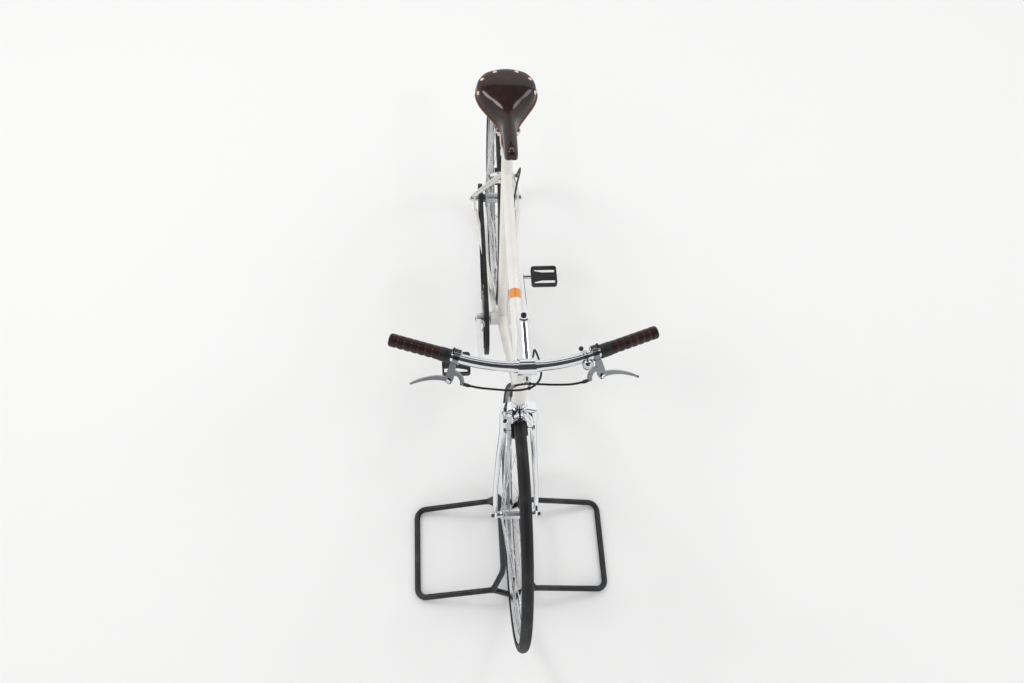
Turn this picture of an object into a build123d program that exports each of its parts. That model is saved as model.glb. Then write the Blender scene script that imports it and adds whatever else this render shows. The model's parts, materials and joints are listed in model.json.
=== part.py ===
from build123d import *
import math
import os

# City bicycle with a toothed belt drive, standing in a tubular floor stand.
# X points forward, Y to the rider's left, Z up.  The origin is on the floor,
# midway between the axles, in the plane of the wheels.

# Wheels
wheelbase = 1016.0
rimSeatRadius = 311.0
tyreWidth = 28.0
rimWidth = 20.5
rimDepth = 17.0
rimWallHeight = 5.0
spokeCount = 32
spokeRadius = 1.0
spokeCrossTurns = 5.5
flangeThickness = 3.2
frontFlangeRadius = 22.0
frontFlangeOffset = 35.0
frontShellRadius = 13.0
frontHubHalf = 40.0
rearFlangeRadius = 25.0
rearFlangeOffset = 32.0
rearShellRadius = 16.0
rearHubHalf = 40.0

# Axles
axleRadius = 4.6
frontDropoutGap = 100.0
rearDropoutGap = 130.0
dropoutThickness = 5.0
coneRadius = 8.5
axleNutLength = 8.5
axleNutRadius = 8.8
axleStub = 2.0

# Fits
runningFit = 0.05
sideClearance = 0.5

# Frame geometry
bracketDrop = 55.0
seatAngle = 73.0
headAngle = 71.0
forkRake = 45.0
headTubeLength = 105.0
headTubeRadius = 16.5
topTubeBelowTop = 26.0
downTubeAboveBottom = 30.0
seatTubeTop = 837.0
topTubeRearDrop = 69.0
topTubeRadius = 14.3
downTubeRadius = 15.9
seatTubeRadius = 14.3
bracketShellRadius = 20.0
bracketShellWidth = 68.0
chainstayRadius = 7.6
chainstayRootOffset = 20.0
chainstayWaistOffset = 27.6
chainstayWaistReach = 100.0
chainstayBend = 260.0
seatstayRadius = 7.0
seatstayTopOffset = 12.0
bridgeRadius = 5.0

# Headset and steering
steererRadius = 12.7
cupRadius = 19.5
lowerCupHeight = 12.0
upperCupHeight = 14.0
raceHeight = 6.0
locknutHeight = 14.0
locknutRadius = 16.5

# Fork
tyreCrownGap = 6.0
crownHeight = 20.0
crownHalfWidth = 32.0
crownDepth = 26.0
crownShoulder = 7.0
crownCorner = 4.0
bladeTopWidth = 9.0
bladeTopDepth = 13.0
bladeTipRadius = 6.0
bladeTipHeight = 14.0
bladeBendStart = 200.0
bladeSpreadEnd = 60.0
socketLength = 30.0
socketWall = 1.4
socketSlant = 0.9

# Stem and handlebar
quillRadius = 11.1
stemTopHeight = 932.0
stemCapRadius = 15.0
stemCapHeight = 26.0
extensionRadius = 12.0
barHeight = 918.0
barReach = 114.0
barRadius = 11.1
barClampRadius = 17.5
barClampWidth = 40.0
barClampRear = 26.0
barSleeveRadius = 12.7
barSleeveHalf = 30.0
pinchWidth = 16.0
pinchDrop = 9.0
pinchSlit = 1.6
barWidth = 557.0
barBendRadius = 415.0
barSweep = 19.0
gripLength = 106.0
gripRadius = 14.4
gripCollarLength = 25.0
gripCollarWall = 0.6
gripCapLength = 2.0

# Brake levers
leverClampWidth = 12.0
leverReach = 42.0
leverDrop = 46.0
leverCollarGap = 6.0
pivotReach = 52.0
leverBodyThickness = 10.0
leverBladeThickness = 7.0
barrelRadius = 3.8
barrelLength = 2.0
hookRadius = 20.0
hookWidth = 7.0
hookSide = -8.0
hookDrop = 1.0

# Bell
bellShare = 0.9
bellBandHalf = 5.0
bellRadius = 12.0
bellForward = 16.0
bellRise = -3.0

# Drive
beltPitch = 11.0
beltTeeth = 117
ringTeeth = 60
sprocketTeeth = 24
beltWidth = 12.0
beltBacking = 2.4
beltToothDepth = 3.6
beltToothRoot = 2.9
beltToothTip = 1.8
beltGap = 0.35
pulleyWidth = 10.0
beltLine = 49.0
ringBand = 22.0
ringWeb = 4.0
spiderThickness = 6.0
crankLength = 170.0
crankAngle = 12.5
crankOuter = 77.0
crankThickness = 13.0
crankBossRadius = 17.0
crankRootHalf = 13.0
crankEndRadius = 12.0
crankBevel = 2.0
crankCapRadius = 9.0
crankCapHeight = 3.0
spiderArms = 5
spiderRootHalf = 9.0
spiderTipHalf = 7.0
spiderOverlap = 6.0
spindleRadius = 8.0

# Pedals
pedalSpindleRadius = 5.0
pedalGap = 24.0
pedalWidth = 79.5
pedalLength = 68.0
pedalThickness = 16.0
pedalRail = 5.5
pedalBodyHalf = 10.0
pedalFlare = 6.0
pedalCorner = 8.0
pedalCollarRadius = 7.5

# Saddle
postRadius = 13.5
saddleNose = -168.0
saddleLength = 274.0
saddleAboveTube = 113.0
saddleClampDrop = 61.0
clampRadius = 12.0
railRadius = 3.5
railSpread = 18.0
railNoseSpread = 9.0
railNoseBar = 13.0
railRearSpread = 25.0
railBend = 14.0
cantleHalf = 62.0
leatherThickness = 6.0

# Stand
standTube = 8.0
standFront = 134.0
standRear = -120.0
standHalf = 268.0
standInner = 57.0
standInnerHeight = 70.0
standCorner = 26.0
hoopGap = 7.5
hoopHeight = 150.0
hoopFront = 100.0
hoopRear = -112.0

# Rim brakes
padLength = 46.0
padHeight = 9.0
padThickness = 7.0
padGap = 2.0
padDrop = 7.0
armThickness = 7.0
armRadius = 27.0
armRootHalf = 6.5
armTipHalf = 4.5
armSeatGap = 4.0
pivotAboveTyre = 13.0
pivotBoltRadius = 5.0
shoeBoltRadius = 5.0
cableArmReach = 35.0
cableArmRise = 6.0
anchorBarrel = 19.0

# Brake cables
cableRadius = 2.4
cableLead = 24.0
cableDrop = 26.0
crossingHeight = 532.0
crossingSide = 26.0
crossingGap = 0.5
crossingLead = 14.0
cableSide = 13.0
cableBelow = 13.0
cableFrontX = 215.0
cableRearX = -165.0

# Worked out
wheelRadius = rimSeatRadius + tyreWidth
saddleHeight = seatTubeTop + saddleAboveTube
half = wheelbase / 2
frontAxle = Vector(half, 0, wheelRadius)
rearAxle = Vector(-half, 0, wheelRadius)
ringPitch = ringTeeth * beltPitch / (2 * math.pi)
sprocketPitch = sprocketTeeth * beltPitch / (2 * math.pi)
ringInner = ringPitch - beltToothDepth - ringBand


def beltLength(distance):
    lean = math.asin((ringPitch - sprocketPitch) / distance)
    runs = 2 * distance * math.cos(lean)
    return runs + ringPitch * (math.pi + 2 * lean) + sprocketPitch * (math.pi - 2 * lean)


def solveDistance():
    low = ringPitch + sprocketPitch
    high = beltTeeth * beltPitch
    for step in range(60):
        middle = (low + high) / 2
        if beltLength(middle) < beltTeeth * beltPitch:
            low = middle
        else:
            high = middle
    return middle


chainstayLength = solveDistance()
bracket = Vector(-half + math.sqrt(chainstayLength ** 2 - bracketDrop ** 2), 0, wheelRadius - bracketDrop)
seatDir = Vector(-math.cos(math.radians(seatAngle)), 0, math.sin(math.radians(seatAngle)))
headDir = Vector(-math.cos(math.radians(headAngle)), 0, math.sin(math.radians(headAngle)))
headNormal = Vector(math.sin(math.radians(headAngle)), 0, math.cos(math.radians(headAngle)))
headFoot = frontAxle - headNormal * forkRake
crownBottom = math.sqrt((wheelRadius + tyreCrownGap) ** 2 - (forkRake - crownDepth / 2) ** 2)
raceBottom = crownBottom + crownHeight
raceTop = raceBottom + raceHeight
headTubeStart = raceTop + sideClearance + lowerCupHeight


def onHead(distance):
    return headFoot + headDir * distance


def onSeat(height):
    return bracket + seatDir * ((height - bracket.Z) / seatDir.Z)


def rod(start, end, radius, endRadius=None):
    span = end - start
    plane = Plane(origin=start, z_dir=span)
    low = (Align.CENTER, Align.CENTER, Align.MIN)
    if endRadius is None:
        return plane * Cylinder(radius, span.length, align=low)
    return plane * Cone(radius, endRadius, span.length, align=low)


def mirrored(shape):
    return mirror(shape, about=Plane.XZ)


def outlineFace(points):
    return make_face(Polyline(*points, close=True))


def tubeAlong(points, radii, radius):
    path = FilletPolyline(*points, radius=radii)
    return sweep(Plane(origin=path @ 0, z_dir=path % 0) * Circle(radius), path=path)


def acrossDisc(centre, radius, low, high):
    return rod(Vector(centre.X, low, centre.Z), Vector(centre.X, high, centre.Z), radius)


def spun(centre, outline):
    """A solid turned about the wheel axis from (distance along Y, radius) points."""
    face = make_face(Polyline(*[(r, y) for y, r in outline], close=True))
    solid = revolve(Plane.XY * face, axis=Axis.Y)
    return Pos(centre.X, 0, centre.Z) * solid


def makeTyre(centre):
    middle = rimSeatRadius + tyreWidth / 2
    seat = rimSeatRadius + rimWallHeight
    section = Pos(middle, 0) * Circle(tyreWidth / 2)
    section -= Pos(seat - tyreWidth, 0) * Rectangle(tyreWidth * 2, tyreWidth * 2)
    return Pos(centre.X, 0, centre.Z) * revolve(section, axis=Axis.Y)


def makeRim(centre):
    edge = rimSeatRadius + rimWallHeight
    deep = rimSeatRadius + rimWallHeight - rimDepth
    w = rimWidth / 2
    outline = [(-w, edge), (w, edge), (w, edge - 9), (w * 0.45, deep), (-w * 0.45, deep), (-w, edge - 9)]
    return spun(centre, outline)


def makeHub(centre, flangeRadius, flangeOffset, shellRadius, hubHalf):
    t = flangeThickness / 2
    bore = axleRadius + runningFit
    side = [
        (hubHalf, bore), (hubHalf, shellRadius * 0.8), (flangeOffset + t, shellRadius * 0.9),
        (flangeOffset + t, flangeRadius), (flangeOffset - t, flangeRadius), (flangeOffset - t, shellRadius),
    ]
    outline = side + [(-y, r) for y, r in reversed(side)]
    hub = spun(centre, outline)
    holeRadius = flangeRadius - 3.0
    tip = rimSeatRadius + rimWallHeight - rimDepth + 1.0
    spokes = []
    for index in range(spokeCount):
        sideSign = 1 if index % 2 == 0 else -1
        rimTurn = 2 * math.pi * (index + 0.5) / spokeCount
        pull = 1 if (index // 2) % 2 == 0 else -1
        hubTurn = rimTurn + pull * 2 * math.pi * spokeCrossTurns / spokeCount
        lift = sideSign * (flangeOffset + pull * t)
        start = centre + Vector(holeRadius * math.cos(hubTurn), lift, holeRadius * math.sin(hubTurn))
        end = centre + Vector(tip * math.cos(rimTurn), sideSign * 2.0, tip * math.sin(rimTurn))
        spokes.append(rod(start, end, spokeRadius))
    rimSolid = makeRim(centre)
    trimmed = [spoke - rimSolid for spoke in spokes]
    return hub.fuse(*trimmed)


# Belt path
beltLean = math.asin((ringPitch - sprocketPitch) / chainstayLength)
lineAngle = math.atan2(bracket.Z - rearAxle.Z, bracket.X - rearAxle.X)
upperAngle = lineAngle + math.pi / 2 + beltLean
lowerAngle = lineAngle - math.pi / 2 - beltLean
runLength = chainstayLength * math.cos(beltLean)
rearWrap = math.pi - 2 * beltLean
frontWrap = math.pi + 2 * beltLean


def polar(centre, radius, angle):
    return (centre.X + radius * math.cos(angle), centre.Z + radius * math.sin(angle))


def beltPlace(distance):
    """Point on the belt's pitch line and the angle of its outward normal."""
    if distance < runLength:
        a = polar(bracket, ringPitch, upperAngle)
        b = polar(rearAxle, sprocketPitch, upperAngle)
        t = distance / runLength
        return (a[0] + (b[0] - a[0]) * t, a[1] + (b[1] - a[1]) * t), upperAngle
    distance -= runLength
    if distance < rearWrap * sprocketPitch:
        turn = upperAngle + distance / sprocketPitch
        return polar(rearAxle, sprocketPitch, turn), turn
    distance -= rearWrap * sprocketPitch
    if distance < runLength:
        a = polar(rearAxle, sprocketPitch, lowerAngle)
        b = polar(bracket, ringPitch, lowerAngle)
        t = distance / runLength
        return (a[0] + (b[0] - a[0]) * t, a[1] + (b[1] - a[1]) * t), lowerAngle
    distance -= runLength
    turn = lowerAngle + distance / ringPitch
    return polar(bracket, ringPitch, turn), turn


def xzFace(outline, y):
    return make_face(Polyline(*[(x, y, z) for x, z in outline], close=True))


def xzPrism(outline, low, high):
    return extrude(xzFace(outline, low), amount=high - low, dir=(0, 1, 0))


def makeBelt():
    inner = []
    for index in range(beltTeeth):
        (x, z), turn = beltPlace((index + 0.5) * beltPitch)
        along = (-math.sin(turn), math.cos(turn))
        inward = (-math.cos(turn), -math.sin(turn))
        for offset, depth in [(-beltToothRoot, 0), (-beltToothTip, beltToothDepth),
                              (beltToothTip, beltToothDepth), (beltToothRoot, 0)]:
            toothX = x + along[0] * offset + inward[0] * depth
            toothZ = z + along[1] * offset + inward[1] * depth
            inner.append((toothX, toothZ))
    low = -beltLine - beltWidth / 2
    high = -beltLine + beltWidth / 2
    ringBack = ringPitch + beltBacking
    sprocketBack = sprocketPitch + beltBacking
    big = acrossDisc(bracket, ringBack, low, high)
    small = acrossDisc(rearAxle, sprocketBack, low, high)
    corners = [
        polar(bracket, ringBack, upperAngle), polar(rearAxle, sprocketBack, upperAngle),
        polar(rearAxle, sprocketBack, lowerAngle), polar(bracket, ringBack, lowerAngle),
    ]
    outer = big + small + xzPrism(corners, low, high)
    return outer - xzPrism(inner, low - 1, high + 1)


def toothPhase(isRing):
    """Angle of one belt tooth that lies on the ring or on the sprocket."""
    distance = 0.5 * beltPitch
    startRear = runLength
    startFront = 2 * runLength + rearWrap * sprocketPitch
    start = startFront if isRing else startRear
    while distance < start:
        distance += beltPitch
    return beltPlace(distance)[1]


def toothedOutline(centre, pitchRadius, teeth, phase):
    outer = pitchRadius - beltGap
    floor = pitchRadius - beltToothDepth - beltGap
    rootTurn = (beltToothRoot + beltGap) / pitchRadius
    tipTurn = (beltToothTip + beltGap) / floor
    outline = []
    for index in range(teeth):
        turn = phase + 2 * math.pi * index / teeth
        outline.append(polar(centre, outer, turn - rootTurn))
        outline.append(polar(centre, floor, turn - tipTurn))
        outline.append(polar(centre, floor, turn + tipTurn))
        outline.append(polar(centre, outer, turn + rootTurn))
    return outline


def makeRing():
    outline = toothedOutline(bracket, ringPitch, ringTeeth, toothPhase(True))
    low = -beltLine - pulleyWidth / 2
    high = -beltLine + pulleyWidth / 2
    ring = xzPrism(outline, low, high)
    ring -= acrossDisc(bracket, ringInner, low - 1, high + 1)
    rimInner = ringPitch - beltToothDepth - 8
    ring -= acrossDisc(bracket, rimInner, low - 1, -beltLine - ringWeb / 2)
    ring -= acrossDisc(bracket, rimInner, -beltLine + ringWeb / 2, high + 1)
    return ring


def makeSprocket():
    outline = toothedOutline(rearAxle, sprocketPitch, sprocketTeeth, toothPhase(False))
    low = -beltLine - pulleyWidth / 2
    high = -beltLine + pulleyWidth / 2
    sprocket = xzPrism(outline, low, high)
    sprocket += acrossDisc(rearAxle, rearShellRadius, high, -rearHubHalf)
    return sprocket - acrossDisc(rearAxle, coneRadius + sideClearance, low - 1, high + 20)


nodes = {}

nodes["front_tyre"] = makeTyre(frontAxle)
nodes["front_rim"] = makeRim(frontAxle)
nodes["front_hub"] = makeHub(frontAxle, frontFlangeRadius, frontFlangeOffset, frontShellRadius, frontHubHalf)
nodes["rear_tyre"] = makeTyre(rearAxle)
nodes["rear_rim"] = makeRim(rearAxle)
nodes["rear_hub"] = makeHub(rearAxle, rearFlangeRadius, rearFlangeOffset, rearShellRadius, rearHubHalf)
nodes["rear_sprocket"] = makeSprocket()


def makeAxle(centre, gap, hubHalf):
    inside = gap / 2
    outside = inside + dropoutThickness
    end = outside + axleNutLength + axleStub
    axle = acrossDisc(centre, axleRadius, -end, end)
    for sign in (-1, 1):
        cone = acrossDisc(centre, coneRadius, *sorted((sign * (hubHalf + sideClearance), sign * inside)))
        nutPlane = Plane(origin=(centre.X, sign * outside, centre.Z), z_dir=(0, sign, 0))
        nut = extrude(nutPlane * RegularPolygon(axleNutRadius, 6), amount=axleNutLength)
        axle = axle + cone + nut
    return axle


nodes["front_axle"] = makeAxle(frontAxle, frontDropoutGap, frontHubHalf)
nodes["rear_axle"] = makeAxle(rearAxle, rearDropoutGap, rearHubHalf)

# Frame tubes
headBottom = onHead(headTubeStart)
headTop = onHead(headTubeStart + headTubeLength)
headOuter = rod(headBottom, headTop, headTubeRadius)
headBore = rod(onHead(headTubeStart - 20), onHead(headTubeStart + headTubeLength + 20), steererRadius + 1.5)
nodes["head_tube"] = headOuter - headBore
seatTop = onSeat(seatTubeTop)
seatOuter = rod(bracket, seatTop, seatTubeRadius)
shellOuter = acrossDisc(bracket, bracketShellRadius, -bracketShellWidth / 2, bracketShellWidth / 2)
shellBore = acrossDisc(bracket, spindleRadius + runningFit, -bracketShellWidth, bracketShellWidth)
nodes["bottom_bracket_shell"] = shellOuter - shellBore
nodes["seat_tube"] = seatOuter - shellOuter
topFront = onHead(headTubeStart + headTubeLength - topTubeBelowTop)
topRear = onSeat(seatTubeTop - topTubeRearDrop)
nodes["top_tube"] = rod(topRear, topFront, topTubeRadius) - headOuter - seatOuter
downFront = onHead(headTubeStart + downTubeAboveBottom)
nodes["down_tube"] = rod(bracket, downFront, downTubeRadius) - headOuter - shellOuter - seatOuter

rearInner = rearDropoutGap / 2
dropPlate = Vector(rearAxle.X, rearInner + dropoutThickness / 2, rearAxle.Z)


def makeDropout(centre, inside, points):
    plate = xzPrism(points, inside, inside + dropoutThickness)
    return plate - acrossDisc(centre, axleRadius + runningFit, inside - 1, inside + dropoutThickness + 1)


# left chainstay with its dropout
stayEnd = Vector(rearAxle.X + 42, dropPlate.Y, rearAxle.Z - 42 * bracketDrop / (bracket.X - rearAxle.X))
stayWaist = Vector(bracket.X - chainstayWaistReach, chainstayWaistOffset,
                   bracket.Z + bracketDrop * chainstayWaistReach / (bracket.X - rearAxle.X))
stayRoot = Vector(bracket.X, chainstayRootOffset, bracket.Z)
stay = tubeAlong([stayRoot, stayWaist, stayEnd], chainstayBend, chainstayRadius)
dropOutline = [
    (rearAxle.X - 14, rearAxle.Z + 4), (rearAxle.X - 6, rearAxle.Z + 24), (rearAxle.X + 14, rearAxle.Z + 30),
    (rearAxle.X + 48, rearAxle.Z - 2), (rearAxle.X + 46, rearAxle.Z - 16), (rearAxle.X + 4, rearAxle.Z - 14),
]
dropout = makeDropout(rearAxle, rearInner, dropOutline)
nodes["chainstay_left"] = stay - shellOuter - seatOuter + dropout
nodes["chainstay_right"] = mirrored(nodes["chainstay_left"])

# left seatstay
clusterHeight = seatTubeTop - topTubeRearDrop
stayTop = onSeat(clusterHeight) + Vector(0, seatstayTopOffset, 0)
stayFoot = Vector(rearAxle.X + 8, dropPlate.Y, rearAxle.Z + 26)
seatstay = rod(stayTop, stayFoot, seatstayRadius)
nodes["seatstay_left"] = seatstay - seatOuter - nodes["top_tube"] - nodes["chainstay_left"]
nodes["seatstay_right"] = mirrored(nodes["seatstay_left"])

# Headset
lowerCup = rod(onHead(headTubeStart - lowerCupHeight), headBottom, cupRadius - 1.5, cupRadius)
upperCup = rod(headTop, onHead(headTubeStart + headTubeLength + upperCupHeight), cupRadius, cupRadius - 2.5)
headEnds = onHead(headTubeStart - 40), onHead(headTubeStart + headTubeLength + 40)
cupBore = rod(*headEnds, steererRadius + runningFit)
nodes["headset_cups"] = Compound([lowerCup - cupBore, upperCup - cupBore])
nutBottom = headTubeStart + headTubeLength + upperCupHeight + sideClearance
nutTop = nutBottom + locknutHeight
steererCore = rod(onHead(raceBottom), onHead(nutTop), steererRadius)
race = rod(onHead(raceBottom), onHead(raceTop), cupRadius - 1, cupRadius - 3) - steererCore
nutPlane = Plane(origin=onHead(nutBottom), x_dir=(0, 1, 0), z_dir=headDir)
locknut = extrude(nutPlane * RegularPolygon(locknutRadius, 8), amount=locknutHeight) - steererCore
nodes["headset_races"] = Compound([race, locknut])


# Fork
def bladeSection(height, wall=0.0):
    """Oval section of the left blade, at a height along the steering axis above the wheel axle."""
    share = (height - bladeTipHeight) / (crownBottom - bladeTipHeight)
    width = bladeTipRadius + (bladeTopWidth - bladeTipRadius) * min(1, share) + wall
    depth = bladeTipRadius + (bladeTopDepth - bladeTipRadius) * min(1, share) ** 0.7 + wall
    bend = max(0, 1 - height / bladeBendStart)
    spread = min(1, (crownBottom - height) / (crownBottom - bladeSpreadEnd))
    tipSide = frontDropoutGap / 2 + dropoutThickness / 2
    side = crownHalfWidth + (tipSide - crownHalfWidth) * max(0, spread)
    centre = onHead(height) + headNormal * (forkRake * bend ** 2) + Vector(0, side, 0)
    slope = headDir - headNormal * (2 * forkRake * bend / bladeBendStart)
    return Plane(origin=centre, x_dir=(0, 1, 0), z_dir=slope) * Ellipse(width, depth)


bladeHeights = [crownBottom + 8, crownBottom - 60, bladeBendStart, 150, 110, 75, 42, bladeTipHeight]
tube = loft([bladeSection(height) for height in bladeHeights])
socketHeights = [crownBottom + 8, crownBottom - socketLength / 2, crownBottom - socketLength]
socket = loft([bladeSection(height, socketWall) for height in socketHeights])
socketFoot = onHead(crownBottom - socketLength * 0.6) + Vector(0, crownHalfWidth, 0)
slantPlane = Plane(origin=socketFoot, x_dir=headNormal, z_dir=headDir + Vector(0, socketSlant, 0))
socket -= slantPlane * Box(80, 80, 80, align=(Align.CENTER, Align.CENTER, Align.MAX))
crownReach = crownHalfWidth + bladeTopWidth + socketWall
crownTopHalf = steererRadius + 5
crownSide = crownHeight - crownShoulder
crownOutline = outlineFace([
    (-crownReach, 0), (-crownReach, crownSide), (-crownTopHalf, crownHeight), (crownTopHalf, crownHeight),
    (crownReach, crownSide), (crownReach, 0),
])
crownOutline = fillet(crownOutline.vertices().filter_by_position(Axis.Y, 1, crownHeight), crownCorner)
crownBack = onHead(crownBottom) - headNormal * (crownDepth / 2)
crownPlane = Plane(origin=crownBack, x_dir=(0, 1, 0), z_dir=headNormal)
crown = extrude(crownPlane * crownOutline, amount=crownDepth)
crown = chamfer(crown.faces().sort_by(Axis.X)[-1].edges(), 1.5)
nodes["fork_crown"] = crown + socket + mirrored(socket) + steererCore
tipPlate = [
    (half - 9, wheelRadius + 6), (half - 12, wheelRadius + 24), (half + 2, wheelRadius + 26),
    (half + 10, wheelRadius + 2), (half + 7, wheelRadius - 8), (half - 5, wheelRadius - 8),
]
blade = tube + makeDropout(frontAxle, frontDropoutGap / 2, tipPlate)
blade -= acrossDisc(frontAxle, axleNutRadius + 1, frontDropoutGap / 2 + dropoutThickness, frontDropoutGap)
blade -= acrossDisc(frontAxle, coneRadius + 1, 0, frontDropoutGap / 2)
nodes["fork_blade_left"] = blade - nodes["fork_crown"]
nodes["fork_blade_right"] = mirrored(nodes["fork_blade_left"])

# Stem
quillTop = onHead(nutTop) + headDir * ((stemTopHeight - onHead(nutTop).Z) / headDir.Z)
capLow = quillTop - headDir * stemCapHeight
barCentre = Vector(quillTop.X + barReach, 0, barHeight)
quill = rod(onHead(nutTop), capLow, quillRadius)
cap = rod(capLow, quillTop, stemCapRadius - 1, stemCapRadius)
cap = chamfer(cap.edges().sort_by(Axis.Z)[-1], 2.5)
neck = rod(capLow + headDir * (stemCapHeight / 2), barCentre, extensionRadius)
clampHalf = barClampWidth / 2
clampPlan = outlineFace([
    (barCentre.X - barClampRadius, -barClampRear / 2), (barCentre.X + barClampRadius, -clampHalf),
    (barCentre.X + barClampRadius, clampHalf), (barCentre.X - barClampRadius, barClampRear / 2),
])
clampDepth = 2 * (barClampRadius + pinchDrop)
clampPlan = Pos(0, 0, barHeight - clampDepth / 2) * extrude(clampPlan, amount=clampDepth)
clamp = acrossDisc(barCentre, barClampRadius, -clampHalf, clampHalf) & clampPlan
earLow = barClampRadius + pinchDrop
ears = Pos(barCentre.X + barRadius, 0, barHeight - earLow / 2) * Box(pinchWidth, pinchWidth, earLow)
ears = fillet(ears.edges().filter_by(Axis.Y), 4)
slit = Pos(barCentre.X + barRadius, 0, barHeight - earLow / 2) * Box(pinchSlit, clampHalf * 4, earLow + 2)
pinchAt = Vector(barCentre.X, 0, barHeight - barClampRadius - pinchDrop / 2)
pinchFace = pinchAt + Vector(barRadius + pinchWidth / 2, 0, 0)
pinchBolt = rod(pinchAt, pinchFace, 3) + rod(pinchFace, pinchFace + Vector(4, 0, 0), 5)
stemBody = quill + cap + neck + ((clamp + ears) - slit) + pinchBolt

# Handlebar
bend = JernArc(start=barCentre, tangent=(0, 1, 0), radius=barBendRadius, arc_size=barSweep)
straightLength = (barWidth / 2 - (bend @ 1).Y) / math.cos(math.radians(barSweep))
barTurn = bend % 1
barEnd = bend @ 1 + barTurn * straightLength
halfPath = Wire([bend, Line(bend @ 1, barEnd)])
barPlane = Plane(origin=barCentre, z_dir=(0, 1, 0))
leftBar = sweep(barPlane * Circle(barRadius), path=halfPath)
sleeveTurn = math.degrees(barSleeveHalf / barBendRadius)
sleevePath = JernArc(start=barCentre, tangent=(0, 1, 0), radius=barBendRadius, arc_size=sleeveTurn)
sleeve = sweep(barPlane * Circle(barSleeveRadius), path=sleevePath)
sleeve = chamfer(sleeve.edges().sort_by(Axis.Y)[-1], barSleeveRadius - barRadius - 0.1, 6)
leftBar += sleeve
handlebar = leftBar + mirrored(leftBar)
nodes["handlebar"] = handlebar
nodes["stem"] = stemBody - handlebar
gripStart = barEnd - barTurn * gripLength
grip = rod(gripStart, barEnd + barTurn * gripCapLength, gripRadius)
grip -= rod(gripStart - barTurn, barEnd, barRadius)
collar = rod(gripStart - barTurn * gripCollarLength, gripStart, gripRadius + gripCollarWall)
collar -= rod(gripStart - barTurn * (gripCollarLength + 1), gripStart + barTurn, barRadius)
nodes["grip_left"] = grip + collar
nodes["grip_right"] = mirrored(nodes["grip_left"])

# Brake levers
leverAt = barEnd - barTurn * (gripLength + gripCollarLength + leverCollarGap)
barForward = Vector(barTurn.Y, -barTurn.X, 0)
leverForward = (barForward * leverReach - Vector(0, 0, leverDrop)).normalized()
leverClamp = rod(leverAt - barTurn * leverClampWidth, leverAt, barRadius + 3.5)
pivot = leverAt + leverForward * pivotReach
leverPlane = Plane(origin=pivot, x_dir=barTurn, z_dir=barTurn.cross(leverForward))


def leverSlab(outline, thickness):
    return leverPlane.offset(-thickness / 2) * extrude(outline, amount=thickness)


strapTop = barRadius - pivotReach
strap = outlineFace([(-6, strapTop), (4, strapTop), (8, -14), (8, 3), (3, 7), (-5, 7), (-8, 0), (-9, -14)])
hook = Pos(hookSide, hookDrop) * (Circle(hookRadius + hookWidth / 2) - Circle(hookRadius - hookWidth / 2))
hook &= Pos(hookSide - hookRadius, hookDrop - hookRadius) * Rectangle(2 * hookRadius, 2 * hookRadius)
body = leverSlab(strap + hook, leverBodyThickness)
bladeEdge = Spline((-4, -5), (22, -3), (47, 7), (65, 18), (79.5, 30))
bladeBack = Spline((77, 32.5), (62.5, 23), (45, 13.5), (20, 5.5), (-4, 5))
bladeFace = make_face([bladeEdge, Line((79.5, 30), (77, 32.5)), bladeBack, Line((-4, 5), (-4, -5))])
bladeShape = leverSlab(bladeFace, leverBladeThickness)
pivotPin = leverPlane * Cylinder(4, leverBodyThickness + 5)
clampBoltAt = leverAt - barTurn * (leverClampWidth / 2) - leverForward * (barRadius + 5)
clampBolt = Plane(origin=clampBoltAt, z_dir=barTurn) * Cylinder(3.4, leverClampWidth + 3)
clampLug = rod(clampBoltAt, clampBoltAt + leverForward * 6, 4.2)
hookEnd = pivot + barTurn * (hookSide - hookRadius + hookWidth / 2) + leverForward * hookDrop
barrelEnd = hookEnd - barTurn * (hookWidth + barrelLength)
barrel = rod(hookEnd, barrelEnd, barrelRadius)
lever = leverClamp + body + bladeShape + pivotPin + clampLug + clampBolt + barrel
nodes["brake_lever_left"] = lever - handlebar
nodes["brake_lever_right"] = mirrored(nodes["brake_lever_left"])

# Bell on the left bend of the bar
bellAt = bend @ bellShare
bellTurn = bend % bellShare
bellFront = Vector(bellTurn.Y, -bellTurn.X, 0)
bellUp = (bellFront + Vector(0, 0, 1)).normalized()
band = rod(bellAt - bellTurn * bellBandHalf, bellAt + bellTurn * bellBandHalf, barRadius + 2)
bellBase = bellAt + bellFront * bellForward + Vector(0, 0, bellRise)
domeHalf = Sphere(bellRadius) & Pos(0, 0, bellRadius) * Box(3 * bellRadius, 3 * bellRadius, 2 * bellRadius)
dome = Plane(origin=bellBase, z_dir=bellUp) * domeHalf
bellPost = rod(bellAt + bellUp * barRadius, bellBase + bellUp * (bellRadius / 2), 4)
striker = rod(bellAt + Vector(0, 0, barRadius), bellAt + Vector(-8, -10, barRadius + 12), 2)
nodes["bell"] = band + bellPost + dome + striker - handlebar

# Saddle and post
postTop = onSeat(saddleHeight - saddleClampDrop - 4)
nodes["seatpost"] = rod(seatTop, postTop, postRadius)
clampLow = onSeat(seatTubeTop - 12)
clampHigh = onSeat(seatTubeTop - 1)
clampPlane = Plane(origin=(clampLow + clampHigh) / 2, x_dir=(0, 1, 0), z_dir=seatDir)
clampEars = clampPlane * Pos(0, seatTubeRadius + 5, 0) * Box(12, 10, 9)
clampScrew = clampPlane * Pos(0, seatTubeRadius + 6, 0) * Rot(0, 90, 0) * Cylinder(3, 18)
nodes["seat_clamp"] = rod(clampLow, clampHigh, seatTubeRadius + 3) + clampEars + clampScrew - seatOuter
railLow = saddleHeight - saddleClampDrop
saddleRear = saddleNose - saddleLength
clampCentre = Vector(postTop.X, 0, railLow)
clampBlock = acrossDisc(clampCentre, clampRadius - 3, -railSpread - 6, railSpread + 6)
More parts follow.
